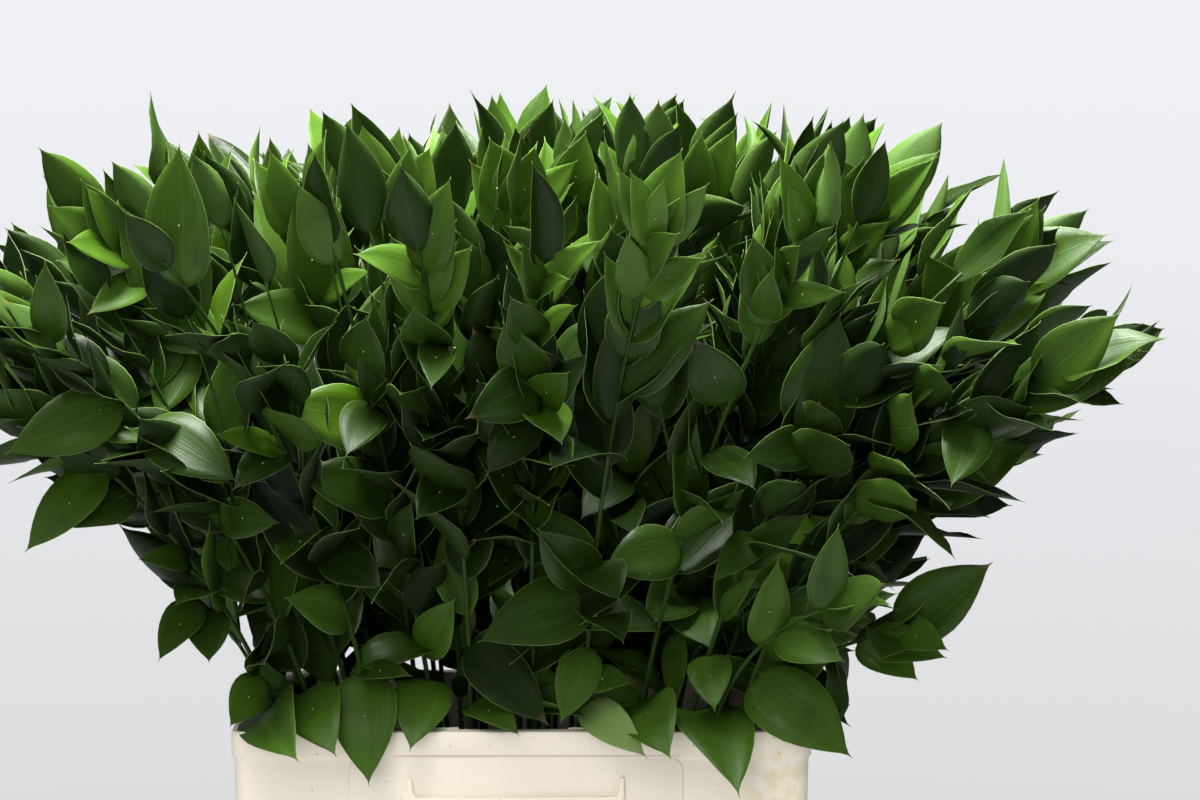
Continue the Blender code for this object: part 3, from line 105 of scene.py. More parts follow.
# The large leaves that show best from the front. Each row gives root and tip as x and height in the
# plane of the crate's front, from the middle of the rim, and the leaf's width as a share of the usual.
# VIEWER is where they are seen from.
VIEWER = np.array([0.023, -2.95, 0.807])
LEADING_LEAVES = (
    (-0.177, 0.038, -0.200, 0.003, 0.9),
    (-0.164, 0.019, -0.153, -0.021, 1.0),
    (-0.136, 0.030, -0.127, -0.018, 1.0),
    (-0.104, 0.039, -0.105, -0.038, 1.1),
    (-0.067, 0.035, -0.077, -0.014, 1.1),
    (-0.022, 0.018, -0.001, -0.003, 0.9),
    (0.030, 0.018, 0.087, -0.019, 0.8),
    (0.080, 0.020, 0.103, -0.020, 1.0),
    (0.104, 0.013, 0.150, -0.046, 1.0),
    (0.159, 0.036, 0.228, -0.019, 1.15),
    (-0.149, 0.079, -0.129, 0.029, 1.2),
    (-0.109, 0.078, -0.158, 0.093, 1.1),
    (-0.231, 0.092, -0.253, 0.049, 0.9),
    (-0.212, 0.088, -0.213, 0.049, 1.0),
    (-0.145, 0.101, -0.224, 0.128, 1.0),
    (-0.105, 0.152, -0.163, 0.175, 1.2),
    (-0.064, 0.052, -0.044, 0.092, 1.0),
    (0.045, 0.091, -0.032, 0.061, 1.1),
    (0.030, 0.059, 0.020, 0.006, 1.0),
    (-0.021, 0.176, -0.062, 0.146, 1.0),
    (-0.008, 0.219, -0.032, 0.176, 1.0),
    (-0.264, 0.201, -0.197, 0.168, 1.1),
    (-0.278, 0.189, -0.337, 0.127, 0.9),
    (-0.259, 0.170, -0.313, 0.143, 1.1),
    (-0.284, 0.212, -0.358, 0.185, 1.0),
    (0.257, 0.092, 0.323, 0.128, 1.1),
    (0.216, 0.075, 0.222, 0.140, 0.8),
    (0.171, 0.052, 0.214, 0.104, 1.1),
    (0.247, 0.092, 0.244, 0.061, 1.0),
    (0.233, 0.062, 0.293, 0.050, 1.0),
    (0.184, 0.055, 0.226, 0.042, 1.1),
    (0.130, 0.153, 0.088, 0.117, 1.0),
    (0.140, 0.188, 0.165, 0.164, 1.1),
    (0.273, 0.155, 0.355, 0.197, 1.0),
    (0.319, 0.195, 0.298, 0.159, 1.1),
    (0.110, 0.068, 0.107, 0.013, 0.6),
    (-0.244, 0.274, -0.279, 0.362, 0.8),
    (-0.239, 0.340, -0.236, 0.420, 1.0),
    (-0.178, 0.290, -0.201, 0.375, 1.0),
    (-0.145, 0.282, -0.134, 0.368, 0.8),
    (-0.096, 0.359, -0.067, 0.411, 1.2),
    (-0.088, 0.313, -0.057, 0.380, 0.9),
    (-0.086, 0.291, -0.054, 0.350, 0.8),
    (-0.025, 0.335, -0.045, 0.393, 1.0),
    (-0.014, 0.356, 0.005, 0.405, 1.1),
    (-0.149, 0.271, -0.205, 0.291, 1.1),
    (-0.139, 0.236, -0.120, 0.282, 1.1),
    (-0.229, 0.268, -0.250, 0.213, 1.1),
    (-0.248, 0.265, -0.293, 0.213, 0.9),
    (-0.212, 0.250, -0.205, 0.203, 1.0),
    (-0.119, 0.206, -0.173, 0.224, 1.3),
    (-0.012, 0.242, -0.048, 0.216, 1.2),
    (-0.009, 0.246, -0.021, 0.282, 1.1),
    (-0.009, 0.226, 0.025, 0.248, 0.9),
    (-0.009, 0.224, 0.020, 0.197, 1.1),
    (-0.298, 0.324, -0.334, 0.359, 1.0),
    (-0.324, 0.273, -0.326, 0.327, 0.8),
    (-0.274, 0.359, -0.301, 0.393, 0.9),
    (0.340, 0.264, 0.404, 0.300, 1.1),
    (0.328, 0.241, 0.420, 0.261, 1.0),
    (0.357, 0.300, 0.415, 0.338, 1.1),
    (0.331, 0.335, 0.356, 0.379, 1.0),
    (0.277, 0.264, 0.313, 0.344, 1.1),
    (0.204, 0.196, 0.221, 0.288, 1.1),
    (0.077, 0.257, 0.093, 0.327, 1.0),
    (0.070, 0.235, 0.133, 0.298, 0.9),
    (0.177, 0.230, 0.146, 0.276, 1.1),
    (0.242, 0.284, 0.282, 0.300, 1.2),
    (0.219, 0.371, 0.226, 0.405, 1.2),
    (0.099, 0.351, 0.114, 0.408, 1.1),
    (0.141, 0.300, 0.145, 0.347, 1.0),
    (0.168, 0.208, 0.193, 0.246, 1.0),
    (0.197, 0.197, 0.151, 0.189, 1.0),
    (0.264, 0.371, 0.299, 0.410, 0.9),
    (0.068, 0.420, 0.093, 0.442, 1.2),
    (-0.243, 0.281, -0.219, 0.344, 0.8),
    (-0.115, 0.222, -0.106, 0.298, 0.6),
    (-0.153, 0.284, -0.164, 0.364, 0.9),
    (-0.141, 0.296, -0.104, 0.316, 0.7),
    (-0.092, 0.305, -0.126, 0.326, 1.0),
    (-0.105, 0.367, -0.119, 0.408, 1.1),
    (-0.132, 0.357, -0.155, 0.393, 0.9),
    (-0.155, 0.374, -0.172, 0.415, 0.8),
    (-0.188, 0.360, -0.197, 0.400, 1.0),
    (-0.219, 0.374, -0.219, 0.422, 0.8),
    (-0.191, 0.381, -0.207, 0.417, 0.8),
    (-0.283, 0.343, -0.302, 0.381, 0.7),
    (-0.288, 0.308, -0.319, 0.329, 1.0),
    (-0.267, 0.298, -0.301, 0.281, 0.8),
    (-0.233, 0.270, -0.212, 0.326, 0.6),
    (-0.095, 0.229, -0.117, 0.191, 1.0),
    (-0.057, 0.222, -0.072, 0.276, 0.9),
    (-0.029, 0.267, -0.061, 0.292, 1.1),
    (-0.034, 0.267, -0.051, 0.236, 0.8),
    (-0.167, 0.191, -0.212, 0.204, 0.7),
    (-0.153, 0.201, -0.193, 0.170, 0.9),
    (-0.205, 0.153, -0.164, 0.146, 0.9),
    (-0.098, 0.119, -0.083, 0.158, 0.8),
    (-0.067, 0.402, -0.068, 0.431, 0.9),
    (-0.050, 0.395, -0.055, 0.428, 1.1),
    (-0.022, 0.391, -0.030, 0.426, 1.3),
    (0.043, 0.398, 0.048, 0.429, 1.1),
    (-0.013, 0.337, 0.032, 0.376, 0.8),
    (0.004, 0.367, 0.042, 0.400, 0.8),
    (-0.008, 0.315, 0.047, 0.342, 0.6),
    (-0.026, 0.295, -0.017, 0.336, 0.9),
    (-0.015, 0.298, -0.012, 0.337, 0.6),
    (-0.012, 0.295, 0.023, 0.310, 0.6),
    (0.002, 0.267, 0.035, 0.293, 0.7),
    (-0.005, 0.267, -0.015, 0.299, 0.9),
    (0.033, 0.277, 0.014, 0.308, 0.8),
    (0.047, 0.274, 0.044, 0.331, 0.75),
    (0.057, 0.343, 0.052, 0.391, 0.7),
    (0.081, 0.339, 0.070, 0.388, 0.8),
    (0.088, 0.346, 0.097, 0.386, 0.6),
    (0.062, 0.417, 0.068, 0.442, 0.8),
    (0.109, 0.339, 0.137, 0.379, 0.8),
    (0.076, 0.298, 0.070, 0.343, 0.8),
    (0.099, 0.298, 0.134, 0.324, 0.8),
    (0.103, 0.315, 0.116, 0.341, 0.9),
    (0.133, 0.295, 0.156, 0.324, 0.7),
    (0.168, 0.277, 0.162, 0.333, 0.8),
    (0.188, 0.291, 0.179, 0.331, 0.7),
    (0.161, 0.324, 0.181, 0.339, 0.7),
    (0.175, 0.250, 0.170, 0.290, 0.7),
    (0.177, 0.239, 0.197, 0.283, 0.6),
    (0.133, 0.229, 0.115, 0.273, 1.2),
    (0.059, 0.215, 0.055, 0.277, 0.7),
    (0.078, 0.177, 0.089, 0.233, 0.7),
    (0.092, 0.181, 0.108, 0.236, 0.6),
    (0.078, 0.177, 0.043, 0.146, 1.0),
    (0.128, 0.157, 0.124, 0.215, 0.35),
    (0.135, 0.167, 0.146, 0.215, 0.4),
    (0.154, 0.198, 0.137, 0.219, 0.9),
    (0.144, 0.402, 0.158, 0.434, 0.9),
    (0.185, 0.381, 0.172, 0.417, 0.8),
    (0.138, 0.391, 0.132, 0.426, 0.9),
    (0.200, 0.346, 0.185, 0.381, 0.6),
    (-0.122, 0.126, -0.089, 0.098, 1.1),
    (-0.012, 0.129, -0.026, 0.101, 0.8),
    (-0.198, 0.105, -0.231, 0.091, 1.0),
    (-0.222, 0.126, -0.261, 0.122, 0.6),
    (-0.090, 0.046, -0.066, 0.041, 0.6),
    (0.050, 0.105, 0.011, 0.141, 1.2),
    (0.088, 0.132, 0.046, 0.114, 1.3),
    (0.054, 0.112, 0.069, 0.089, 1.1),
    (0.071, 0.160, 0.079, 0.135, 0.9),
    (0.147, 0.139, 0.125, 0.105, 0.8),
    (0.157, 0.112, 0.200, 0.150, 0.8),
    (0.116, 0.098, 0.085, 0.074, 1.2),
    (0.116, 0.091, 0.131, 0.057, 1.2),
    (0.137, 0.077, 0.161, 0.106, 0.5),
    (0.166, 0.057, 0.177, 0.119, 0.8),
    (0.133, 0.053, 0.135, 0.014, 1.0),
    (0.045, 0.036, 0.077, 0.034, 0.7),
    (0.219, 0.007, 0.226, 0.036, 1.0),
    (0.237, 0.050, 0.275, 0.029, 1.0),
    (0.257, 0.084, 0.293, 0.063, 0.9),
    (0.264, 0.139, 0.240, 0.107, 0.7),
    (0.240, 0.277, 0.283, 0.300, 1.0),
    (0.264, 0.381, 0.297, 0.410, 0.9),
    (0.225, 0.315, 0.256, 0.348, 0.8),
    (0.240, 0.371, 0.219, 0.405, 1.0),
    (0.319, 0.343, 0.355, 0.377, 0.9),
    (0.188, 0.290, 0.228, 0.298, 0.6),
    (0.306, 0.277, 0.280, 0.326, 1.1),
)
# Leaves
LEAF_SPACING = 0.0122
SHOOT_SPACING = 0.0145
SHOOTS = 2
SHOOT_START = (0.38, 0.60)
SHOOT_TURN_JITTER = 0.4
SHOOT_INWARDS = 1.6
SHOOT_LENGTH = (0.84, 1.0)
SHOOT_SPREAD = (13, 25)
SHOOT_KNEE_SHARE, SHOOT_KNEE_SPREAD = 0.45, 1.8
LEAF_LENGTH_LOW, LEAF_LENGTH_TIP = 0.084, 0.068
LEAF_SHAPE = 0.245
# Its outline: how its body widens from the root and narrows, its long point and its own short stalk
BODY_END, BODY_SCALE = 0.94, 0.349
WIDENING, NARROWING = 0.62, 0.95
POINT_WIDTH, POINT_LENGTH, POINT_POWER = 0.13, 0.16, 1.4
STALK_WIDTH = 0.045
WAVES, WAVE_SKEW = 1.5, 1.2
TERMINAL = 0.985
GOLDEN_TURN = math.radians(137.5)
SKIRT_REACH = 0.075
TRIALS = 7
NEAR = 0.115
SEED = 7
# How a leaf may stand: its angle from the stem in degrees low down and at the tip, and how much it varies.
# Low leaves differ: in front they hang over the rim as a skirt, behind they stand between the stems.
PITCH_LOW, PITCH_TIP, PITCH_POWER, PITCH_VARIES = 48, 15, 0.75, 14
PITCH_LAST = (2, 10)
SKIRT_FROM = 0.7
SKIRT = {"swing": 0.5, "spread": 1.2, "pitch": (72, 108), "pull": (0.1, 1.9), "bend": (25, 75)}
SCREEN = {"swing": 1.7, "spread": 0.25, "pitch": (55, 90), "pull": (2.0, 4.0), "bend": (0, 20)}
TURN_VARIES = 0.7
TURN_COST = 0.3
LIGHT_PULL = 0.55
OUTWARD_LEAST = np.array([0.0, -0.05, 0.02])
OUTER_DROOP = 18
SAG = 0.30
LIGHT_FROM = np.array([0.0, 0.05, CRATE_HEIGHT + 0.05])
FACE_PULL = (0.1, 1.9)
LENGTH_FROM, LENGTH_POWER = 0.4, 1.2
LENGTH_VARIES, WIDTH_VARIES = (0.70, 1.22), (0.88, 1.10)
BEND_LOW, BEND_TIP, BEND_VARIES = 20, 3, 13
CUP, CUP_VARIES, CUP_LEAST = 0.55, 0.25, 0.08
TWIST_VARIES = 21
WAVE = (0.04, 0.18)
# How a leading leaf stands
LEADING_FROM = (0.02, 0.94)
LEADING_PLACES, LEADING_TRIES = 60, 5
LEADING_BEND, HANGING_BEND = (12, 36), 35
LEADING_CUP, LEADING_TWIST, LEADING_WAVE = (0.15, 0.5), 0.14, (0.02, 0.09)
LEADING_TILT_X, LEADING_TILT_Z = (-0.3, 0.3), (0.1, 0.6)
LEADING_FORWARDS, HANGING_FORWARDS, STEP_FORWARDS = 0.032, 0.016, 0.009
LEADING_NARROW, LEADING_SHORT = 0.066, 0.058
FRONT_FIRST, HANGING_FRONT_FIRST = 0.11, 0.30
TIP_FOLLOWS = 0.45
# Where along its axis a leaf may start
STEM_LEAVES, SHOOT_LEAVES = (0.03, 0.955), (0.16, 0.825)
LEAF_JITTER = 0.2
CROWDING_UP, CROWDING_UP_BEHIND = 0.72, 0.95
BEHIND_FROM = 0.2
# Where a leaf is felt for while its place is chosen, and how near others may come
FEEL_ROWS = np.array([0.25, 0.25, 0.25, 0.45, 0.45, 0.45, 0.7, 0.7, 0.7, 0.88, 1.0])
FEEL_SIDES = np.array([-0.9, 0, 0.9, -0.9, 0, 0.9, -0.9, 0, 0.9, 0, 0])
FEEL_MIDDLE = 4
BARRED = 30.0
BOX_MARGIN = 0.003
MOST_HIDING = 5.0
HIDING_NEAR, CLOSE, TOUCHING, STALK_NEAR = 0.014, 0.012, 0.004, 0.007
TOUCHING_COST = 0.6
STALK_SEARCH = 0.07
STALK_PLACES = np.linspace(0.0, 0.97, 44)
WALL_CLEAR, WALL_LOW = 0.005, 0.003
MOUTH_CLEAR = 0.012
# The height, from the rim, under which only leading leaves hang: at the front, at the back, and beyond the
# left and right ends, where it rises outwards (height at a place, slope)
FRONT_DROP, BACK_DROP = 0.006, 0.060
LEFT_RISE, RIGHT_RISE = (0.065, -0.20, -0.7), (0.0, 0.245, 1.3)


# Growth


def unit(vectors):
    """Each vector divided by its length."""
    return vectors / np.linalg.norm(vectors, axis=-1, keepdims=True)


def mix(low, high, share):
    """From low to high by a share."""
    return low + (high - low) * share


def lean_direction(sideways, forwards):
    """The unit vector that leans from upright by two angles in degrees."""
    return unit(np.array([math.tan(math.radians(sideways)), math.tan(math.radians(forwards)), 1.0]))


def make_stem_path(mouth, foot_share, way, reach, rng):
    """A straight run from the floor to the mouth, then a quadratic curve to the tip."""
    foot = np.array([mouth[0] * foot_share, mouth[1] * foot_share, FLOOR + GAP + FOOT_LIFT])
    knee = mouth + unit(mouth - foot) * reach * KNEE_SHARE
    knee[:2] += rng.uniform(-KNEE_JITTER, KNEE_JITTER, 2)
    turn = rng.uniform(0, 2 * math.pi)
    return {
        "foot": foot,
        "mouth": mouth,
        "knee": knee,
        "tip": mouth + way * reach,
        "reach": reach,
        "turn": turn,
        "place": mouth[:2] / MOUTH_SPREAD,
    }


def crown(u):
    """How the reach varies across the mouth: less in the middle and at the ends, more right of it."""
    waves = (CROWN_DIP, CROWN_RISE)
    dip, rise = (high * math.exp(-(((u - place) / wide) ** 2)) for high, place, wide in waves)
    drop = RIGHT_DROP if u > END_PLACE else LEFT_DROP if u < -END_PLACE else 0
    return CROWN - dip + rise - drop


def make_stem_paths(rng):
    """The upright stems on their staggered grid, row by row, and then the low sprays."""
    stems = []
    for row in range(STEM_ROWS):
        for column in range(STEM_COLUMNS):
            stagger = STAGGER if row % 2 else -STAGGER
            u = (column + stagger + 0.5) / STEM_COLUMNS * 2 - 1
            v = (row + 0.5) / STEM_ROWS * 2 - 1
            u = np.clip((u + rng.uniform(-COLUMN_JITTER, COLUMN_JITTER)) / GRID_ACROSS, -FURTHEST, FURTHEST)
            v = np.clip((v + rng.uniform(-ROW_JITTER, ROW_JITTER)) / GRID_ALONG, -FURTHEST, FURTHEST)
            mouth = np.array([MOUTH_SPREAD[0] * u, MOUTH_SPREAD[1] * v, CRATE_HEIGHT])
            sideways = (LEAN_RIGHT if u > 0 else LEAN_LEFT) * math.copysign(abs(u) ** LEAN_SIDE_POWER, u)
            way = lean_direction(sideways, LEAN_DEPTH * math.copysign(abs(v) ** LEAN_DEPTH_POWER, v))
            reach = REACH * crown(u) * (1 + rng.uniform(-REACH_LESS, REACH_MORE))
            stems.append(make_stem_path(mouth, FOOT_SHARE, way, reach, rng))
    for u, v, sideways, forwards, reach in LOW_SPRAYS:
        mouth = np.array([MOUTH_SPREAD[0] * u, MOUTH_SPREAD[1] * v, CRATE_HEIGHT])
        stems.append(make_stem_path(mouth, LOW_FOOT_SHARE, lean_direction(sideways, forwards), reach, rng))
    return stems


def make_shoots(stems, rng):
    """Side shoots: each leaves its stem about half way up, bows aside and ends a little under the tip.
    On the outer stems they turn inwards."""
    shoots = []
    for number, stem in enumerate(stems[: STEM_ROWS * STEM_COLUMNS]):
        outward = np.append(stem["place"], 0.0)
        spin = rng.uniform(0, 2 * math.pi)
        for side in range(SHOOTS):
            start_t = rng.uniform(*SHOOT_START)
            start, tau = stem_point(stem, start_t), stem_way(stem, start_t)
            turn = spin + math.pi * side + rng.uniform(-SHOOT_TURN_JITTER, SHOOT_TURN_JITTER)
            radial = np.array([math.cos(turn), math.sin(turn), 0.0])
            excess = radial @ outward
            if excess > 0:
                radial = radial - SHOOT_INWARDS * excess * outward / np.linalg.norm(outward) ** 1.5
            radial = unit(radial - tau * (radial @ tau))
            length = stem["reach"] * (1 - start_t) * rng.uniform(*SHOOT_LENGTH)
            spread = math.tan(math.radians(rng.uniform(*SHOOT_SPREAD)))
            knee_way = unit(tau + SHOOT_KNEE_SPREAD * spread * radial)
            shoots.append(
                {
                    "mouth": start,
                    "knee": start + knee_way * length * SHOOT_KNEE_SHARE,
                    "tip": start + unit(tau + spread * radial) * length,
                    "reach": length,
                    "turn": rng.uniform(0, 2 * math.pi),
                    "place": stem["place"],
                    "stem": number,
                    "start": start_t,
                }
            )
    return shoots


def stem_point(stem, t):
    """The quadratic curve (1 - t)^2 * mouth + 2 t (1 - t) * knee + t^2 * tip."""
    t = np.asarray(t, float)[..., None]
    return (1 - t) ** 2 * stem["mouth"] + 2 * t * (1 - t) * stem["knee"] + t**2 * stem["tip"]


def stem_way(stem, t):
    """The curve's direction at t: its two legs, mouth to knee and knee to tip, blended by t."""
    t = np.asarray(t, float)[..., None]
    return unit(2 * (1 - t) * (stem["knee"] - stem["mouth"]) + 2 * t * (stem["tip"] - stem["knee"]))


def stem_radius(stem, distance):
    """The radius at a distance from the foot: it shrinks evenly to the tip."""
    whole = np.linalg.norm(stem["mouth"] - stem["foot"]) + stem["reach"]
    return mix(STEM_RADIUS_FOOT, STEM_RADIUS_TIP, distance / whole)


def blade_half_width(s):
    """A leaf's half width as a share of its widest, from root (0) to point (1)."""
    x = np.clip(s / BODY_END, 0, 1)
    body = x**WIDENING * (1 - x) ** NARROWING / BODY_SCALE
    point = POINT_WIDTH * np.clip((1 - s) / POINT_LENGTH, 0, 1) ** POINT_POWER
    stalk = STALK_WIDTH * np.sqrt(np.clip(1 - s, 0, 1))
    return (body**3 + point**3 + stalk**3) ** (1 / 3)


def blade_points(leaves, s, c, lift=0.0):
    """Points and normals of leaves at shares s of their length and c of their half width.

    Each leaf arches away from its face along a circle, rolls about its midrib, curls its sides up
    by a second circle and waves near its edges. lift moves the points along the normals.
    """
    base, way, face = (leaves[key][:, None] for key in ("base", "way", "face"))
    length, half, cup, twist, wave, phase = (
        leaves[key][:, None] for key in ("length", "half", "cup", "twist", "wave", "phase")
    )
    bend = leaves["bend"][:, None] + 1e-6
    s, c = s[None], c[None]
    turn = bend * s
    along = (length * np.sin(turn) / bend)[..., None] * way
    along = along - (length * (1 - np.cos(turn)) / bend)[..., None] * face
    face_here = np.cos(turn)[..., None] * face + np.sin(turn)[..., None] * way
    side = np.cross(face, way)
    roll = twist * s
    across = np.cos(roll)[..., None] * side + np.sin(roll)[..., None] * face_here
    up = np.cos(roll)[..., None] * face_here - np.sin(roll)[..., None] * side
    width = half * blade_half_width(s)
    arc = cup * c
    rise = width * (1 - np.cos(arc)) / cup
    rise = rise + wave * width * c * c * np.sin(2 * np.pi * (WAVES * s + phase) + WAVE_SKEW * c)
    normal = np.cos(arc)[..., None] * up - np.sin(arc)[..., None] * across
    reach = width * np.sin(arc) / cup
    points = base + along + reach[..., None] * across + rise[..., None] * up + lift * normal
    return points, normal


def wall_hits(points):
    """How many points lie in the crate's wall, its rim or just beside them."""
    x, y, z = np.abs(points[..., 0]), np.abs(points[..., 1]), points[..., 2]
    low = z < CRATE_HEIGHT + WALL_LOW
    outer = (x < CRATE_LENGTH / 2 + WALL_CLEAR) & (y < CRATE_WIDTH / 2 + WALL_CLEAR)
    clear = RIM_WIDTH + MOUTH_CLEAR
    inner = (x < CRATE_LENGTH / 2 - clear) & (y < CRATE_WIDTH / 2 - clear)
    return (low & outer & ~inner).sum(-1)


def underside(points):
    """The height under which only leading leaves hang: it rises away from the crate's two ends."""
    x = points[..., 0]
    drop = np.where(points[..., 1] < 0, FRONT_DROP, BACK_DROP)
    left, right = (height + slope * (x - place) for height, place, slope in (LEFT_RISE, RIGHT_RISE))
    rise = np.where(x < 0, left, right)
    return CRATE_HEIGHT + np.where(np.abs(x) > CRATE_LENGTH / 2, np.maximum(rise, -drop), -drop)


def distances(a, b):
    """Every distance from points a to points b: the root of |a|^2 + |b|^2 - 2 a.b."""
    squares = (a * a).sum(-1)[:, None] + (b * b).sum(-1)[None] - 2 * a @ b.T
    return np.sqrt(np.maximum(squares, 0))


def trial_leaves(stem, k, t, last, rng):
    """Some ways that leaf k could grow from its stem or shoot at t, and how far each is off its spiral."""
    base, tau = stem_point(stem, t), stem_way(stem, t)
    mouth_x, mouth_y = stem["place"]
    low = "start" not in stem and t * stem["reach"] < SKIRT_REACH
    t = mix(stem.get("start", 0.0), 1.0, t)
    edge = min(1.0, max(abs(mouth_x), abs(mouth_y)) ** 3)
    outward = np.array([mouth_x * abs(mouth_x) ** 3, mouth_y * abs(mouth_y) ** 3, 0.0]) + OUTWARD_LEAST
    outward = unit(outward - tau * (outward @ tau))
    sideways = np.cross(tau, outward)
    planned = stem["turn"] + GOLDEN_TURN * k
    azimuth = planned + rng.uniform(-TURN_VARIES, TURN_VARIES, TRIALS)
    azimuth = azimuth - LIGHT_PULL * min(1.0, abs(mouth_y) ** 3) * np.sin(azimuth)
    kind = None
    if low and abs(mouth_y) > SKIRT_FROM and mouth_x > -END_PLACE:
        kind = SKIRT if mouth_y < 0 else SCREEN
        swing = kind["swing"] if k % 2 else -kind["swing"]
        azimuth = swing + rng.uniform(-kind["spread"], kind["spread"], TRIALS)
        planned = azimuth
    outer = np.cos(azimuth)
    loose = (1 - t) * edge
    pitch = mix(PITCH_LOW, PITCH_TIP, t**PITCH_POWER) + OUTER_DROOP * outer * loose
    pitch = pitch + rng.uniform(-PITCH_VARIES, PITCH_VARIES, TRIALS)
    if last:
        pitch = rng.uniform(*PITCH_LAST, TRIALS)
    if kind:
        pitch = rng.uniform(*kind["pitch"], TRIALS)
    pitch = np.radians(pitch)
    radial = np.cos(azimuth)[:, None] * outward + np.sin(azimuth)[:, None] * sideways
    way = np.cos(pitch)[:, None] * tau + np.sin(pitch)[:, None] * radial
    way[:, 2] -= SAG * loose * np.maximum(outer, 0)
    way = unit(way)
    face = unit(tau - way * (way @ tau)[:, None])
    light = unit(base - LIGHT_FROM)
    light = light - way * (way @ light)[:, None]
    light = light * np.where((light * face).sum(-1) < 0, -1, 1)[:, None]
    face = unit(face + rng.uniform(*(kind["pull"] if kind else FACE_PULL), TRIALS)[:, None] * light)
    upper = np.clip((t - LENGTH_FROM) / (1 - LENGTH_FROM), 0, 1) ** LENGTH_POWER
    length = mix(LEAF_LENGTH_LOW, LEAF_LENGTH_TIP, upper) * rng.uniform(*LENGTH_VARIES)
    half = length * LEAF_SHAPE * rng.uniform(*WIDTH_VARIES)
    bend = mix(BEND_LOW, BEND_TIP, t) + OUTER_DROOP * outer * loose + rng.normal(0, BEND_VARIES, TRIALS)
    if kind:
        bend = rng.uniform(*kind["bend"], TRIALS)
    leaves = {
        "base": np.repeat(base[None], TRIALS, 0),
        "way": way,
        "face": face,
        "length": np.full(TRIALS, length),
        "half": np.full(TRIALS, half),
        "bend": np.radians(bend),
        "cup": np.full(TRIALS, abs(rng.normal(CUP, CUP_VARIES)) + CUP_LEAST),
        "twist": np.radians(rng.normal(0, TWIST_VARIES, TRIALS)),
        "wave": np.full(TRIALS, rng.uniform(*WAVE)),
        "phase": np.full(TRIALS, rng.uniform(0, 1)),
    }
    return leaves, TURN_COST * np.abs(azimuth - planned)


def seen(points, depth):
    """Where the sight line through each point crosses the upright plane at a depth."""
    return VIEWER + (points - VIEWER) * ((depth - VIEWER[1]) / (points[..., 1:2] - VIEWER[1]))


def leading_leaf(stems, row, rng):
    """One leaf of LEADING_LEAVES: it starts on the stem that shows nearest its root and ends on the
    sight line through its tip, far enough forwards to be a whole leaf and to clear the rim."""
    root_x, root_height, tip_x, tip_height, width = row
    front = -CRATE_WIDTH / 2
    root = np.array([root_x, front, CRATE_HEIGHT + root_height])
    tip = np.array([tip_x, front, CRATE_HEIGHT + tip_height])
    ts = np.linspace(*LEADING_FROM, LEADING_PLACES)
    runs = np.array([stem_point(stem, ts) for stem in stems])
    hangs = tip_height < 0
    off = np.linalg.norm(seen(runs, front) - root, axis=-1)
    off = off + (HANGING_FRONT_FIRST if hangs else FRONT_FIRST) * runs[..., 1]
    number, place = np.unravel_index(np.argmin(off), off.shape)
    base = runs[number, place]
    if not hangs:
        tip = tip + TIP_FOLLOWS * (seen(base[None], front)[0] - root)
    bend = math.radians(rng.uniform(*LEADING_BEND) + (HANGING_BEND if hangs else 0))
    cup, twist = rng.uniform(*LEADING_CUP), rng.normal(0, LEADING_TWIST)
    wave, phase = rng.uniform(*LEADING_WAVE), rng.uniform()
    tilt = np.array([rng.uniform(*LEADING_TILT_X), -1.0, rng.uniform(*LEADING_TILT_Z)])
    nearest = base[1] - front + HANGING_FORWARDS if hangs else LEADING_FORWARDS
    for step in range(LEADING_TRIES):
        chord = seen(tip[None], base[1] - nearest - STEP_FORWARDS * step)[0] - base
        reach = np.linalg.norm(chord)
        chord = chord / reach
        face = unit(tilt - chord * (tilt @ chord))
        length = reach * (bend / 2) / math.sin(bend / 2)
        leaf = {
            "base": base,
            "way": math.cos(bend / 2) * chord + math.sin(bend / 2) * face,
            "face": math.cos(bend / 2) * face - math.sin(bend / 2) * chord,
            "length": length,
            "half": max(length, LEADING_NARROW) * LEAF_SHAPE * width,
            "bend": bend,
            "cup": cup,
            "twist": twist,
            "wave": wave,
            "phase": phase,
        }
        rows, sides = np.repeat(np.linspace(0.1, 1, 10), 3), np.tile([-1, 0, 1], 10)
        fine, _ = blade_points(as_arrays([leaf]), rows, sides)
        if length > LEADING_SHORT and not wall_hits(fine)[0]:
            break
    points, normals = blade_points(as_arrays([leaf]), FEEL_ROWS, FEEL_SIDES)
    leaf = leaf | {"stem": int(number), "t": float(ts[place]), "leading": True, "shoot": False}
    return leaf, points[0], normals[0]


def as_arrays(leaves):
    """What shapes the leaves: for each property, one array over all of them."""
    keys = ("base", "way", "face", "length", "half", "bend", "cup", "twist", "wave", "phase")
    return {key: np.array([leaf[key] for leaf in leaves]) for key in keys}


def hiding(points, shown):
    """How much each trial leaf would stand in front of the leading leaves."""
    flat = points.reshape(-1, 3)
    gaps = distances(seen(flat, 0.0)[:, ::2], seen(shown, 0.0)[:, ::2])
    before = flat[:, 1, None] < shown[None, :, 1]
    return (np.clip(1 - gaps / HIDING_NEAR, 0, 1) * before).sum(-1).reshape(len(points), -1).sum(-1)


def crowding(points, normals, others, other_normals):
    """How much each trial leaf runs into leaves that already grow there."""
    flat = points.reshape(-1, 3)
    gaps = distances(flat, others)
    close = np.clip(1 - gaps / CLOSE, 0, 1)
    touch = np.clip(1 - gaps / TOUCHING, 0, 1)
    cross = 1 - (normals.reshape(-1, 3) @ other_normals.T) ** 2
    return (close * cross + TOUCHING_COST * touch).sum(-1).reshape(len(points), -1).sum(-1)


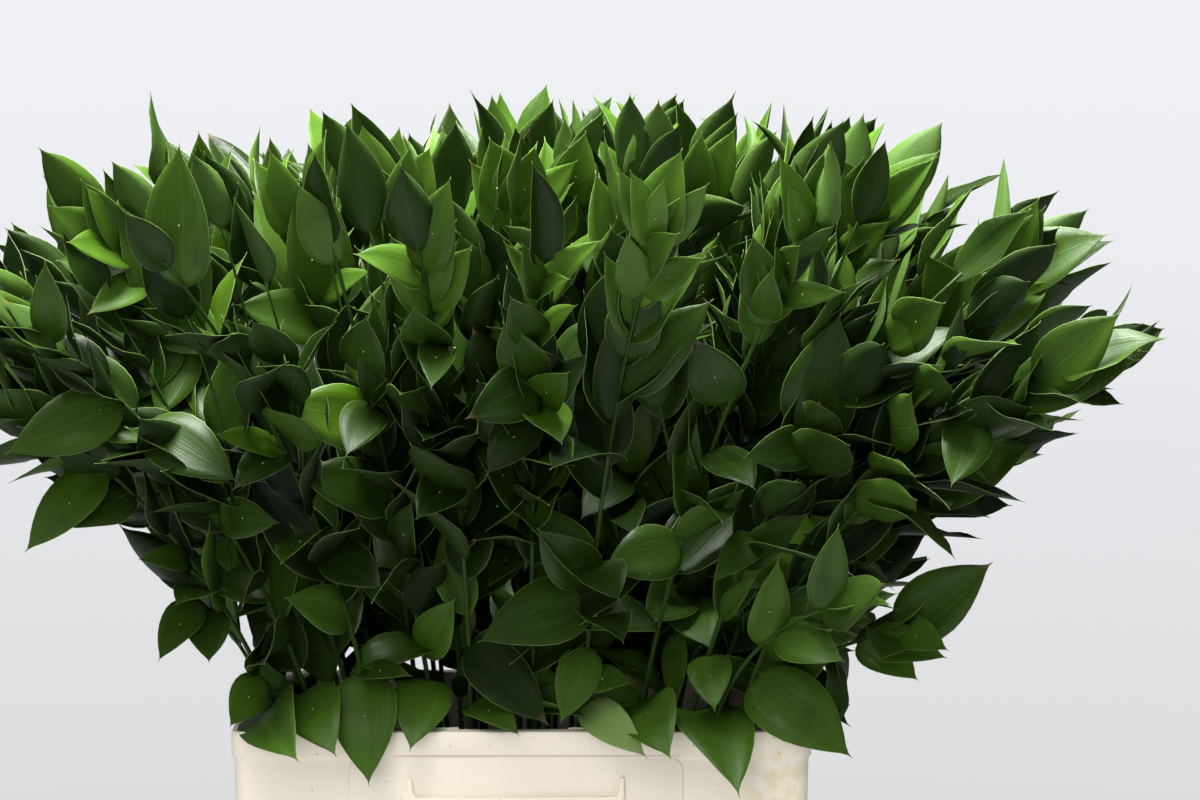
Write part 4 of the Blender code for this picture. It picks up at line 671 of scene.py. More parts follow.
def grow_leaves(stems, rng):
    """Every leaf of every stem, each in the least crowded of its trial places."""
    shoots = make_shoots(stems, rng)
    spacings = [LEAF_SPACING] * len(stems) + [SHOOT_SPACING] * len(shoots)
    axes = stems + shoots
    most = sum(int(round(stem["reach"] / gap)) for stem, gap in zip(axes, spacings)) + len(LEADING_LEAVES)
    taken = np.zeros((most, len(FEEL_ROWS), 3))
    taken_normals = np.zeros_like(taken)
    stalks = np.concatenate([stem_point(stem, STALK_PLACES) for stem in stems])
    grown = []
    for row in LEADING_LEAVES:
        leaf, taken[len(grown)], taken_normals[len(grown)] = leading_leaf(stems, row, rng)
        grown.append(leaf)
    shown = taken[: len(grown)].copy().reshape(-1, 3)
    limits = None
    for number, (stem, gap) in enumerate(zip(axes, spacings)):
        count = int(round(stem["reach"] / gap))
        shoot = number >= len(stems)
        power = 1 if shoot else CROWDING_UP_BEHIND if stem["place"][1] > BEHIND_FROM else CROWDING_UP
        lowest, run = SHOOT_LEAVES if shoot else STEM_LEAVES
        if shoot and limits is None:
            grown_points = taken[: len(grown)].reshape(-1, 3)
            limits = grown_points.min(0) + BOX_MARGIN, grown_points.max(0) - BOX_MARGIN
        for k in range(count):
            last = k == count - 1
            jitter = rng.uniform(-LEAF_JITTER, LEAF_JITTER) if 0 < k < count - 1 else 0
            t = min(lowest + run * ((k + jitter) / (count - 1)) ** power, TERMINAL)
            trials, cost = trial_leaves(stem, k, t, last, rng)
            points, normals = blade_points(trials, FEEL_ROWS, FEEL_SIDES)
            cost = cost + BARRED * (wall_hits(points) + (points[..., 2] < underside(points)).any(-1))
            if shoot:
                cost = cost + BARRED * ((points < limits[0]) | (points > limits[1])).any((1, 2))
            hidden = hiding(points, shown)
            cost = cost + hidden + BARRED * (hidden > MOST_HIDING) * (not last)
            middle = points[:, FEEL_MIDDLE].mean(0)
            near = ((taken[: len(grown), FEEL_MIDDLE] - middle) ** 2).sum(-1) < NEAR**2
            near = np.flatnonzero(near)
            if len(near):
                others = taken[near].reshape(-1, 3)
                cost = cost + crowding(points, normals, others, taken_normals[near].reshape(-1, 3))
            stalk = stalks[((stalks - middle) ** 2).sum(-1) < STALK_SEARCH**2]
            if len(stalk):
                gaps = distances(points.reshape(-1, 3), stalk)
                cost = cost + np.clip(1 - gaps / STALK_NEAR, 0, 1).sum(-1).reshape(TRIALS, -1).sum(-1)
            best = int(np.argmin(np.round(cost, 6)))
            if cost[best] >= BARRED:
                continue
            taken[len(grown)], taken_normals[len(grown)] = points[best], normals[best]
            leaf = {key: value[best] for key, value in trials.items()}
            owner = stem.get("stem", number)
            grown.append(leaf | {"stem": owner, "axis": stem, "t": t, "leading": False, "shoot": shoot})
    return grown, shoots


# Meshes


def add_piece(name, points, face_sets, materials, attributes=None, uv=None):
    """An object at the origin, from whole arrays. face_sets holds (faces, material number, smooth)."""
    mesh = bpy.data.meshes.new(name)
    mesh.vertices.add(len(points))
    mesh.vertices.foreach_set("co", np.asarray(points, np.float32).ravel())
    corners = np.concatenate([faces.ravel() for faces, _, _ in face_sets])
    sizes = np.concatenate([np.full(len(faces), faces.shape[1]) for faces, _, _ in face_sets])
    numbers = np.concatenate([np.full(len(faces), number) for faces, number, _ in face_sets])
    smooth = np.concatenate([np.full(len(faces), rounded) for faces, _, rounded in face_sets])
    mesh.loops.add(len(corners))
    mesh.loops.foreach_set("vertex_index", corners.astype(np.int32))
    mesh.polygons.add(len(sizes))
    mesh.polygons.foreach_set("loop_start", np.concatenate([[0], np.cumsum(sizes)[:-1]]).astype(np.int32))
    mesh.polygons.foreach_set("material_index", numbers.astype(np.int32))
    mesh.polygons.foreach_set("use_smooth", smooth)
    if uv is not None:
        layer = mesh.uv_layers.new(name="surface")
        layer.data.foreach_set("uv", np.asarray(uv, np.float32)[corners].ravel())
    for key, values in (attributes or {}).items():
        attribute = mesh.attributes.new(key, "FLOAT", "POINT")
        attribute.data.foreach_set("value", np.asarray(values, np.float32))
    for material in materials:
        mesh.materials.append(material)
    mesh.update(calc_edges=True)
    mesh.validate()
    piece = bpy.data.objects.new(name, mesh)
    bpy.context.scene.collection.objects.link(piece)
    return piece


def grid_faces(rows, columns, closed=False):
    """Quads of a grid of points stored row by row, seen from the side where the columns run to the left."""
    last = columns if closed else columns - 1
    row, column = np.meshgrid(np.arange(rows - 1), np.arange(last), indexing="ij")
    after = (column + 1) % columns
    low, high = row * columns, (row + 1) * columns
    return np.stack([low + column, low + after, high + after, high + column], -1).reshape(-1, 4)


def spokes(sides, across, beside):
    """Unit spokes round each of many points, at even angles a: cos(a) * across + sin(a) * beside."""
    angles = (2 * np.pi * np.arange(sides) / sides)[None, :, None]
    return np.cos(angles) * across[:, None] + np.sin(angles) * beside[:, None]


# Leaves as thin closed blades, on a grid of s along the midrib and c across it

BLADE_S = np.array([0.0, 0.06, 0.14, 0.23, 0.33, 0.44, 0.55, 0.66, 0.76, 0.84, 0.90, 0.955, 1.0])
BLADE_C = np.array([-1.0, -0.5, 0.0, 0.5, 1.0])
# A blade's thickness, and how much less it is at the margin and at the point
BLADE_THICKNESS = 0.00045
MARGIN_THINNER, POINT_THINNER = 0.45, 0.5
# How far the margins rise above the midrib, as a share of the half width, and how much of it the whole sinks
KEEL, KEEL_SINKS = 0.03, 0.35


def blade_faces():
    """Faces of one closed blade: its upper grid, its lower grid turned over and split alike, and a rim."""
    rows, columns = len(BLADE_S), len(BLADE_C)
    below = rows * columns
    upper = grid_faces(rows, columns)
    lower = upper[:, [0, 3, 2, 1]] + below
    root = np.arange(columns)
    left = np.arange(rows) * columns
    right, point = left + columns - 1, left[-1] + root
    border = np.concatenate([root, right[1:], point[::-1][1:], left[::-1][1:-1]])
    ahead = np.roll(border, -1)
    rim = np.stack([ahead, border, border + below, ahead + below], -1)
    return np.concatenate([upper, lower]), rim


def blade_surfaces(leaves):
    """Upper and lower points of many leaves, with their s and c. The growth's own blade is keeled by
    KEEL * half width * |c| * (1 - s^3), sunk by a share of that, and moved along its normals both ways by
    half of BLADE_THICKNESS * (1 - MARGIN_THINNER * c^2) * (1 - POINT_THINNER * s^4)."""
    s, c = np.meshgrid(BLADE_S, BLADE_C, indexing="ij")
    s, c = s.ravel(), c.ravel()
    thickness = BLADE_THICKNESS * (1 - MARGIN_THINNER * c * c) * (1 - POINT_THINNER * s**4)
    middle, normals = blade_points(leaves, s, c)
    keel = KEEL * leaves["half"][:, None] * blade_half_width(s)[None] * np.abs(c)[None] * (1 - s[None] ** 3)
    middle = middle + (keel - keel.max(-1, keepdims=True) * KEEL_SINKS)[..., None] * normals
    lift = (thickness / 2)[None, :, None] * normals
    return middle + lift, middle - lift, s, c


# Flowers: a pale bead on the midrib of some leaves

# The share of leaves that have one, and where along the leaf it sits
FLOWERED = 0.35
BEAD_PLACE = 0.44
BEAD_SIDES = 6
BEAD_RADIUS = 0.0007
BEAD_TOP, BEAD_MIDDLE, BEAD_FOOT = 0.0011, 0.0003, -0.0002


def beads(leaves):
    """Points of small beads: a ring of BEAD_SIDES points of BEAD_RADIUS round a place on each leaf's
    midrib, one point over the ring and one under it, at the given heights along the leaf's normal."""
    centre, normal = blade_points(leaves, np.array([BEAD_PLACE]), np.array([0.0]), BLADE_THICKNESS / 2)
    centre, normal = centre[:, 0], normal[:, 0]
    along = unit(leaves["way"] - normal * (leaves["way"] * normal).sum(-1, keepdims=True))
    side = np.cross(normal, along)
    ring = centre[:, None] + BEAD_RADIUS * spokes(BEAD_SIDES, side, along) + BEAD_MIDDLE * normal[:, None]
    top, foot = (centre + height * normal for height in (BEAD_TOP, BEAD_FOOT))
    return np.concatenate([ring, top[:, None], foot[:, None]], 1)


def bead_faces():
    """Triangles from the ring to the point over it, and to the point under it."""
    around = np.arange(BEAD_SIDES)
    ahead = (around + 1) % BEAD_SIDES
    upper = np.stack([around, ahead, np.full(BEAD_SIDES, BEAD_SIDES)], -1)
    lower = np.stack([ahead, around, np.full(BEAD_SIDES, BEAD_SIDES + 1)], -1)
    return np.concatenate([upper, lower])


# Stalks

STALK_SIDES, STALK_RINGS, FOOT_RINGS = 8, 20, 3
# A stalk's radius as a share of the solid's, and the length of stalk that one unit of its uv covers
STALK_SHARE = 0.70
STALK_STREAK = 0.1
SHOOT_RADIUS_FOOT, SHOOT_RADIUS_TIP = 0.0014, 0.0008
SHOOT_PAST_LEAF = 0.01


def stalk_surface(stem, end):
    """A round tube whose radius shrinks evenly: a straight run from foot to mouth and a quadratic curve
    above. A shoot has no straight run, is thinner and ends with its last leaf."""
    path = stem_point(stem, np.linspace(0, end, STALK_RINGS))
    if "foot" in stem:
        rise = np.linspace(0, 1, FOOT_RINGS + 1)[:-1, None]
        path = np.concatenate([stem["foot"] + (stem["mouth"] - stem["foot"]) * rise, path])
    runs = np.concatenate([[0.0], np.cumsum(np.linalg.norm(np.diff(path, axis=0), axis=1))])
    if "foot" in stem:
        radii = stem_radius(stem, runs) * STALK_SHARE
    else:
        radii = mix(SHOOT_RADIUS_FOOT, SHOOT_RADIUS_TIP, runs / runs[-1])
    ways = unit(np.gradient(path, axis=0))
    across = unit(np.cross(ways, np.array([0.0, 1.0, 0.0])))
    points = path[:, None] + radii[:, None, None] * spokes(STALK_SIDES, across, np.cross(ways, across))
    turns = np.arange(STALK_SIDES) / STALK_SIDES
    uv = np.stack(np.broadcast_arrays(turns[None], runs[:, None] / STALK_STREAK), -1)
    return points.reshape(-1, 3), uv.reshape(-1, 2), len(path)


def stalk_mesh(axes, start):
    """The tubes of a stem and its shoots: points, uv, quads and flat ends, numbered from start on."""
    points, uvs, tubes, ends = [], [], [], []
    around = np.arange(STALK_SIDES)
    for axis, end in axes:
        stalk, uv, rings = stalk_surface(axis, end)
        points.append(stalk)
        uvs.append(uv)
        tubes.append(grid_faces(rings, STALK_SIDES, closed=True)[:, ::-1] + start)
        ends.append(np.stack([around, around[::-1] + (rings - 1) * STALK_SIDES]) + start)
        start += len(stalk)
    return [np.concatenate(parts) for parts in (points, uvs, tubes, ends)]


# How light a leaf's green is, partly its own tone and partly painted light: the range of a leading leaf,
# painted lighter as the front leaves that catch the light, and the most and the power of any other
LEADING_TONE = (0.40, 1.0)
OTHER_TONE, OTHER_POWER = 0.95, 2.1
# A band between the crown and the skirt is shaded: its height, its reach up and sideways, what it takes
SHADE_HEIGHT, SHADE_REACH, SHADE_WIDTH, SHADE_TAKES = 0.555, 0.10, 0.34, 0.85
# The crown is painted lighter, as lit from above, from a height on, fully so a little above, and less
# towards the ends
CROWN_HEIGHT, CROWN_RISES, CROWN_WIDTH = 0.58, 0.14, 0.38
CROWN_PAINTED_LIGHT_TIMES, CROWN_PAINTED_LIGHT_ADDS = 0.90, 0.14
# The skirt of leaves over the rim is painted lighter, as lit, under a height. Any other leaf has PLAIN_TIMES
# of its tone.
SKIRT_HEIGHT, SKIRT_FALLS, SKIRT_PAINTED_LIGHT_TIMES = 0.47, 0.06, 0.35
PLAIN_TIMES = 0.80
# Leading leaves that have turned pale, by number, and how many leaves have a dry tip, and how dry
PALE_LEAVES = (6,)
DRY_LEAVES, DRYNESS = 0.07, (0.3, 1.0)


def leaf_tones_with_painted_light(leaves, place, shares):
    """How light each leaf is, from a share of its own and where it grows: times one less exp(-(height off
    the band / reach)^2 - (x / width)^2) as painted shade, then raised in the crown and the skirt as painted
    light."""
    x, z = place[:, 0], place[:, 2]
    leading = np.array([leaf["leading"] for leaf in leaves])
    shaded = np.exp(-(((z - SHADE_HEIGHT) / SHADE_REACH) ** 2) - (x / SHADE_WIDTH) ** 2)
    crowned = np.clip((z - CROWN_HEIGHT) / CROWN_RISES, 0, 1) * np.exp(-((x / CROWN_WIDTH) ** 2))
    skirted = np.clip((SKIRT_HEIGHT - z) / SKIRT_FALLS, 0, 1)
    tone_and_painted_light = np.where(leading, mix(*LEADING_TONE, shares), OTHER_TONE * shares**OTHER_POWER)
    tone_and_painted_light = tone_and_painted_light * (1 - SHADE_TAKES * shaded)
    return tone_and_painted_light * (PLAIN_TIMES + CROWN_PAINTED_LIGHT_TIMES * crowned + SKIRT_PAINTED_LIGHT_TIMES * skirted) + CROWN_PAINTED_LIGHT_ADDS * crowned


def make_stem_piece(number, stem, shoots, leaves, materials, rng):
    """One stem in one mesh: its blades, then its stalk and shoots, then its beads, with what the leaf
    finish needs as attributes."""
    arrays = as_arrays(leaves)
    upper, lower, s, c = blade_surfaces(arrays)
    count, grid = len(leaves), len(s)
    blades = np.concatenate([upper, lower], 1).reshape(-1, 3)
    faces, rim = blade_faces()
    first = (np.arange(count) * 2 * grid)[:, None, None]
    stalk, stalk_uv, tubes, ends = stalk_mesh([(stem, 1.0)] + shoots, len(blades))
    flowered = [leaf for leaf in leaves if rng.random() < FLOWERED] or leaves[:1]
    dots = beads(as_arrays(flowered))
    dot_first = len(blades) + len(stalk) + np.arange(len(dots)) * dots.shape[1]
    dot_faces = (bead_faces()[None] + dot_first[:, None, None]).reshape(-1, 3)
    points = np.concatenate([blades, stalk, dots.reshape(-1, 3)])
    rest = len(points) - len(blades)
    # Each leaf's tone carries painted shade in the middle band and painted light in the crown, the skirt and
    # the leading leaves
    own = {
        "tone_and_painted_light": leaf_tones_with_painted_light(leaves, arrays["base"], rng.random(count)),
        "hue": rng.random(count),
        "dry": (rng.random(count) < DRY_LEAVES) * rng.uniform(*DRYNESS, count),
        "pale": np.array([float(leaf.get("pale", False)) for leaf in leaves]),
    }
    other = {"tone_and_painted_light": rng.random(), "hue": 0.5, "dry": 0.0, "pale": 0.0}
    attributes = {
        key: np.concatenate([np.repeat(values, 2 * grid), np.full(rest, other[key])])
        for key, values in own.items()
    }
    attributes["under"] = np.concatenate([np.tile(np.repeat([0.0, 1.0], grid), count), np.zeros(rest)])
    blade_uv = np.tile(np.stack([(c + 1) / 2, s], -1), (2 * count, 1))
    uv = np.concatenate([blade_uv, stalk_uv, np.zeros((rest - len(stalk), 2))])
    face_sets = [
        ((faces[None] + first).reshape(-1, 4), 0, True),
        ((rim[None] + first).reshape(-1, 4), 0, False),
        (tubes, 1, True),
        (ends, 1, False),
        (dot_faces, 2, True),
    ]
    piece = add_piece(f"ruscus_stem_{number:02d}", points, face_sets, materials, attributes, uv)
    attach(piece, "root")
    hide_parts(f"stem_{number:02d}")


# Crate

ARC_STEPS = 10
FILLET_STEPS, BAND_STEPS, SMALL_STEPS = 4, 3, 2
# Roundings: the foot, the rim's outer edge, its edge at the mouth, the edges under it, and the floor's bend.
# A rounded edge's corners are smaller by EDGE_CORNER, and the foot's by FOOT_CORNER.
FOOT_ROUND, FOOT_CORNER = 0.003, 0.002
RIM_ROUND, MOUTH_ROUND, UNDER_ROUND = 0.0015, 0.0012, 0.001
EDGE_CORNER = 0.001
FLOOR_BEND_HEIGHT, FLOOR_BEND = 0.010, 0.004
# The fillet under the rim's band: its height, how far inside the wall's face it starts, and how far its
# corner lies under the band's foot and its end over it
BAND_FILLET, BAND_INSIDE, BAND_UNDER, BAND_OVER = 0.0060, 0.0001, 0.0002, 0.0006
# The rounded edge of the raised panel and ledge, the share of it that its middle row is drawn in by, and
# the share of the wall's thickness that they start inside
PLATE_EDGE, PLATE_CUT, PLATE_SUNK = 0.0005, 0.3, 0.5
# The points of a panel corner's arc, and how far the panel reaches up behind the band's foot
PANEL_CORNER_POINTS = 7
PANEL_TUCK = 0.0002
# The gussets' width at the top, and their waist as (in from the end, up from the ledge)
GUSSET_TOP, GUSSET_WAIST = 0.0022, (0.0030, 0.0035)
# Small tabs at the mouth's long sides: where each starts and ends along it, how far they reach in and out
# from its edge, how far below and above the rim's top, and their edge
RIM_TABS = ((-0.0607, -0.0435), (0.0324, 0.0497))
TAB_IN, TAB_OUT, TAB_DOWN, TAB_UP, TAB_EDGE = 0.0007, 0.0022, 0.0030, 0.0011, 0.0003


def wall_inset(height):
    """How far the wall's outer face lies inside the rim's outer face at a height."""
    return RIM_PROUD + (CRATE_HEIGHT - height) * WALL_SLOPE


def crate_ring(inset, radius, height):
    """A rounded rectangle at one height, four quarter arcs of ARC_STEPS, from the +X side on."""
    corner = np.repeat(np.arange(4), ARC_STEPS + 1)
    angle = np.pi / 2 * (corner + np.tile(np.arange(ARC_STEPS + 1) / ARC_STEPS, 4))
    side_x = np.where((corner == 0) | (corner == 3), 1, -1)
    side_y = np.where(corner < 2, 1, -1)
    x = side_x * (CRATE_LENGTH / 2 - inset - radius) + radius * np.cos(angle)
    y = side_y * (CRATE_WIDTH / 2 - inset - radius) + radius * np.sin(angle)
    return np.stack([x, y, np.full(len(x), height)], -1)


def fillet(start, corner, end, steps=FILLET_STEPS):
    """Rows (inset, radius, height) along a quadratic bend from start to end, pulled towards corner."""
    t = np.linspace(0, 1, steps + 1)[:, None]
    start, corner, end = (np.array(p, float) for p in (start, corner, end))
    return (1 - t) ** 2 * start + 2 * t * (1 - t) * corner + t**2 * end


def shell_rows():
    """The crate's section from the middle of its foot, up outside, over the rim and down inside."""
    top, under, band = CRATE_HEIGHT, CRATE_HEIGHT - RIM_THICKNESS, CRATE_HEIGHT - RIM_BAND
    r, mouth_r = CORNER_RADIUS, MOUTH_CORNER_RADIUS
    inner_r = r - WALL
    foot, beside = wall_inset(0), wall_inset(band)
    inner, low, floor = (wall_inset(height) + WALL for height in (under, FLOOR_BEND_HEIGHT, FLOOR))
    return np.concatenate([
        fillet((foot + FOOT_ROUND, r - FOOT_CORNER, 0), (foot, r, 0), (foot, r, FOOT_ROUND)),
        fillet(
            (beside + BAND_INSIDE, r, band - BAND_FILLET),
            (beside, r, band - BAND_UNDER),
            (0.0, r, band + BAND_OVER),
            BAND_STEPS,
        ),
        fillet((0.0, r, top - RIM_ROUND), (0.0, r, top), (RIM_ROUND, r - EDGE_CORNER, top)),
        fillet(
            (RIM_WIDTH - EDGE_CORNER, mouth_r - EDGE_CORNER, top),
            (RIM_WIDTH, mouth_r, top),
            (RIM_WIDTH, mouth_r, top - MOUTH_ROUND),
        ),
        fillet(
            (RIM_WIDTH, mouth_r, under + UNDER_ROUND),
            (RIM_WIDTH, mouth_r, under),
            (RIM_WIDTH - UNDER_ROUND, mouth_r - EDGE_CORNER, under),
            SMALL_STEPS,
        ),
        fillet(
            (inner + UNDER_ROUND, inner_r - EDGE_CORNER, under),
            (inner, inner_r, under),
            (inner, inner_r, under - UNDER_ROUND),
            SMALL_STEPS,
        ),
        fillet(
            (low, inner_r, FLOOR_BEND_HEIGHT),
            (floor, inner_r, FLOOR),
            (floor + FLOOR_BEND, inner_r, FLOOR),
        ),
    ])


def plate(outline, depth, side):
    """A plate raised from a long wall. Its outline (x, z) lies in the wall, then at depth less its edge's
    rounding, and is then drawn in towards its middle by the edge at full depth."""
    inward = unit(outline.mean(0) - outline)
    cut = PLATE_EDGE * PLATE_CUT
    steps = ((-WALL * PLATE_SUNK, 0.0), (depth - PLATE_EDGE, 0.0), (depth - cut, cut), (depth, PLATE_EDGE))
    layers = []
    for out, drawn in steps:
        flat = outline + inward * drawn
        y = CRATE_WIDTH / 2 - wall_inset(flat[:, 1]) + out
        layers.append(np.stack([flat[:, 0] * -side, side * y, flat[:, 1]], -1))
    return np.concatenate(layers), len(layers), len(outline)


def both_halves(right):
    """An outline from its right half, given from below upwards: it starts with the left half's foot."""
    return np.roll(np.concatenate([right, right[::-1] * [-1, 1]]), 1, axis=0)


def panel_outline():
    """Square below, two rounded corners under the rim's band."""
    top = CRATE_HEIGHT - RIM_BAND + PANEL_TUCK
    half = PANEL_WIDTH / 2
    angles = np.linspace(0, np.pi / 2, PANEL_CORNER_POINTS)
    middle = np.array([half, top]) - PANEL_CORNER
    arc = middle + PANEL_CORNER * np.stack([np.cos(angles), np.sin(angles)], -1)
    return both_halves(np.concatenate([[[half, PANEL_FOOT]], arc]))


def ledge_outline():
    """The label ledge with a small gusset rising at each end."""
    top = CRATE_HEIGHT - LEDGE_DROP
    half = LEDGE_WIDTH / 2
    waist_in, waist_up = GUSSET_WAIST
    return both_halves(np.array([
        (half, top - LEDGE_HEIGHT),
        (half, top + GUSSET_HEIGHT),
        (half - GUSSET_TOP, top + GUSSET_HEIGHT),
        (half - waist_in, top + waist_up),
        (half - GUSSET_WIDTH, top),
    ]))


def tab_layers(low, high):
    """A small block from one corner to the other, its upper edges drawn in by TAB_EDGE."""
    x0, y0, z0 = low
    x1, y1, z1 = high
    layers = []
    for z, e in ((z0, 0.0), (z1 - TAB_EDGE, 0.0), (z1, TAB_EDGE)):
        layers.append([(x0 + e, y0 + e, z), (x1 - e, y0 + e, z), (x1 - e, y1 - e, z), (x0 + e, y1 - e, z)])
    return np.array(layers, float).reshape(-1, 3), len(layers), 4


def make_crate_piece(material):
    """The shell, and on each long side a panel, a ledge and two tabs, as closed skins in one mesh."""
    around = 4 * (ARC_STEPS + 1)
    rows = shell_rows()
    skins = [(np.concatenate([crate_ring(*row) for row in rows]), len(rows), around)]
    mouth = CRATE_WIDTH / 2 - RIM_WIDTH
    for side in (-1, 1):
        for outline, depth in ((panel_outline(), PANEL_DEPTH), (ledge_outline(), LEDGE_DEPTH)):
            points, layers, count = plate(outline, depth, side)
            skins.append((points + np.array([PANEL_SHIFT, 0, 0]) * -side, layers, count))
        low_y, high_y = sorted((side * (mouth - TAB_IN), side * (mouth + TAB_OUT)))
        for ends in RIM_TABS:
            low_x, high_x = sorted(-side * x for x in ends)
            low, high = (low_x, low_y, CRATE_HEIGHT - TAB_DOWN), (high_x, high_y, CRATE_HEIGHT + TAB_UP)
            skins.append(tab_layers(low, high))
    face_sets, start = [], 0
    for points, layers, count in skins:
        ends = np.stack([np.arange(count)[::-1], np.arange(count) + (layers - 1) * count])
        face_sets.append((grid_faces(layers, count, closed=True) + start, 0, True))
        face_sets.append((ends + start, 0, False))
        start += len(points)
    piece = add_piece("crate_shell", np.concatenate([skin[0] for skin in skins]), face_sets, [material])
    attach(piece, "root")
    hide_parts("crate")


# Finishes


class Nodes:
    """The nodes of a material or sky. An input that is given another node's output is linked to it, and
    any other value is set on it."""

    def __init__(self, owner, shader="Principled BSDF"):
        owner.use_nodes = True
        self.tree = owner.node_tree
        self.shader = self.tree.nodes[shader]

    def put(self, node, inputs):
        for key, value in inputs.items():
            socket = node.inputs[key]
            if isinstance(value, bpy.types.NodeSocket):
                self.tree.links.new(value, socket)
            elif socket.type == "RGBA":
                socket.default_value = (*value, 1)
            else:
                socket.default_value = value

    def add(self, kind, inputs=None, **settings):
        """The outputs of a new node."""
        node = self.tree.nodes.new("ShaderNode" + kind)
        for key, value in settings.items():
            setattr(node, key, value)
        self.put(node, inputs or {})
        return node.outputs

    def calc(self, operation, *values, clamp=False):
        return self.add("Math", dict(enumerate(values)), operation=operation, use_clamp=clamp)[0]

    def times(self, *values, clamp=False):
        product = values[0]
        for value in values[1:]:
            product = self.calc("MULTIPLY", product, value, clamp=clamp)
        return product

    def plus(self, *values):
        total = values[0]
        for value in values[1:]:
            total = self.calc("ADD", total, value)
        return total

    def off(self, value, middle):
        """How far a value is from a middle one."""
        return self.calc("ABSOLUTE", self.calc("SUBTRACT", value, middle))

    def step_up(self, value, low, high, least=0.0, most=1.0):
        """Goes smoothly from least to most while value goes from low to high."""
        inputs = {"Value": value, "From Min": low, "From Max": high, "To Min": least, "To Max": most}
        return self.add("MapRange", inputs, interpolation_type="SMOOTHSTEP")[0]

    def step_down(self, value, low, high, most=1.0):
        return self.step_up(value, low, high, most, 0.0)

    def noise(self, vector, scale, detail=2.0, roughness=0.5):
        inputs = {"Vector": vector, "Scale": scale, "Detail": detail, "Roughness": roughness}
        return self.add("TexNoise", inputs)[0]

    def stretched(self, vector, scale):
        return self.add("Mapping", {"Vector": vector, "Scale": scale})[0]

    def blend(self, share, low, high):
        return self.add("Mix", {0: share, 6: low, 7: high}, data_type="RGBA")[2]

    def tinted(self, color, *layers):
        """A colour with tints laid over it one after another, each by its share."""
        for share, tint in layers:
            color = self.blend(share, color, tint)
        return color

    def bump(self, height, strength, distance):
        return self.add("Bump", {"Height": height, "Strength": strength, "Distance": distance})[0]


def new_finish(name):
    """A material, its nodes and the place on the piece, which its patterns follow."""
    material = bpy.data.materials.new(name)
    nodes = Nodes(material)
    return material, nodes, nodes.add("TexCoord")["Object"]


# The leaf's colours: its greens, then what is laid over them
LEAF_DARK, LEAF_LIGHT = (0.0026, 0.0085, 0.0004), (0.0840, 0.1900, 0.0140)
LEAF_YELLOW = (0.076, 0.170, 0.006)
LEAF_STREAK = (0.092, 0.168, 0.034)
LEAF_MOTTLE = (0.005, 0.016, 0.001)
LEAF_UNDERSIDE = (0.060, 0.112, 0.028)
LEAF_PALE = (0.200, 0.300, 0.090)
LEAF_RIB = (0.060, 0.130, 0.018)
LEAF_MARGIN = (0.180, 0.285, 0.070)
LEAF_POINT = (0.240, 0.260, 0.080)
LEAF_DRY = (0.190, 0.095, 0.035)
# How fine the veins are across a leaf and along it, and how much they differ from leaf to leaf
VEINS_ACROSS, VEINS_ALONG, VEINS_VARY = 34.0, 1.3, 40.0
# Where the midrib, margin, point and dry tip start and end, as shares of the leaf's width and length
RIB_FADES, MARGIN_FADES = (0.004, 0.014), (0.488, 0.499)
POINT_FADES, DRY_FADES = (0.955, 0.995), (0.93, 1.03)


def leaf_finish():
    """Leathery green: streaks of fine veins, a pale thin margin, a paler underside and a few dry tips, each
    leaf darker or lighter by its tone, which holds painted shade and painted light.
    """
    material, nodes, place = new_finish("ruscus_leaf")
    u, v, _ = nodes.add("SeparateXYZ", {0: nodes.add("UVMap", uv_map="surface")[0]})
    names = ("tone_and_painted_light", "hue", "dry", "under", "pale")
    tone_and_painted_light, hue, dry, under, pale = (nodes.add("Attribute", attribute_name=name)["Fac"] for name in names)
    across, along = nodes.times(u, VEINS_ACROSS), nodes.times(v, VEINS_ALONG)
    vein_place = nodes.add("CombineXYZ", {0: across, 1: along, 2: nodes.times(hue, VEINS_VARY)})[0]
    veins = nodes.noise(vein_place, 1.0, 3.0, 0.6)
    mottle = nodes.noise(place, 38.0, 3.0, 0.55)
    patch = nodes.noise(place, 9.0, 1.0)
    # lightness follows each leaf's tone: painted shade in the middle band, painted light in the crown, the
    # skirt and the leading leaves
    lightness = nodes.plus(nodes.times(tone_and_painted_light, 0.90), nodes.times(patch, 0.35), -0.15)
    lightness = nodes.times(lightness, 0.625, clamp=True)
    aside = nodes.off(u, 0.5)
    rib = nodes.step_down(aside, *RIB_FADES, 0.16)
    ragged = nodes.plus(v, nodes.times(mottle, 0.12))
    color = nodes.tinted(
        nodes.blend(lightness, LEAF_DARK, LEAF_LIGHT),
        (nodes.step_up(hue, 0.72, 1.0, 0.0, 0.4), LEAF_YELLOW),
        (nodes.times(nodes.step_up(veins, 0.42, 0.72, 0.0, 0.62), lightness), LEAF_STREAK),
        (nodes.step_up(mottle, 0.45, 0.8, 0.0, 0.35), LEAF_MOTTLE),
        (nodes.times(under, nodes.plus(nodes.times(lightness, 0.7), 0.06)), LEAF_UNDERSIDE),
        (nodes.times(pale, 0.85), LEAF_PALE),
        (rib, LEAF_RIB),
        (nodes.step_up(aside, *MARGIN_FADES, 0.0, 0.7), LEAF_MARGIN),
        (nodes.step_up(v, *POINT_FADES, 0.0, 0.7), LEAF_POINT),
        (nodes.times(dry, nodes.step_up(ragged, *DRY_FADES), clamp=True), LEAF_DRY),
    )
    height = nodes.plus(veins, nodes.times(rib, -1.2), nodes.times(patch, 0.6))
    nodes.put(nodes.shader, {
        "Base Color": color,
        "Roughness": nodes.plus(nodes.times(under, 0.14), nodes.step_up(mottle, 0.3, 0.7, 0.32, 0.44)),
        "Specular IOR Level": 0.21,
        "Normal": nodes.bump(height, 0.35, 0.0008),
    })
    return material


# The stalk's colours
STALK_DARK, STALK_LIGHT = (0.010, 0.030, 0.003), (0.034, 0.078, 0.009)
STALK_MOTTLE = (0.034, 0.052, 0.013)


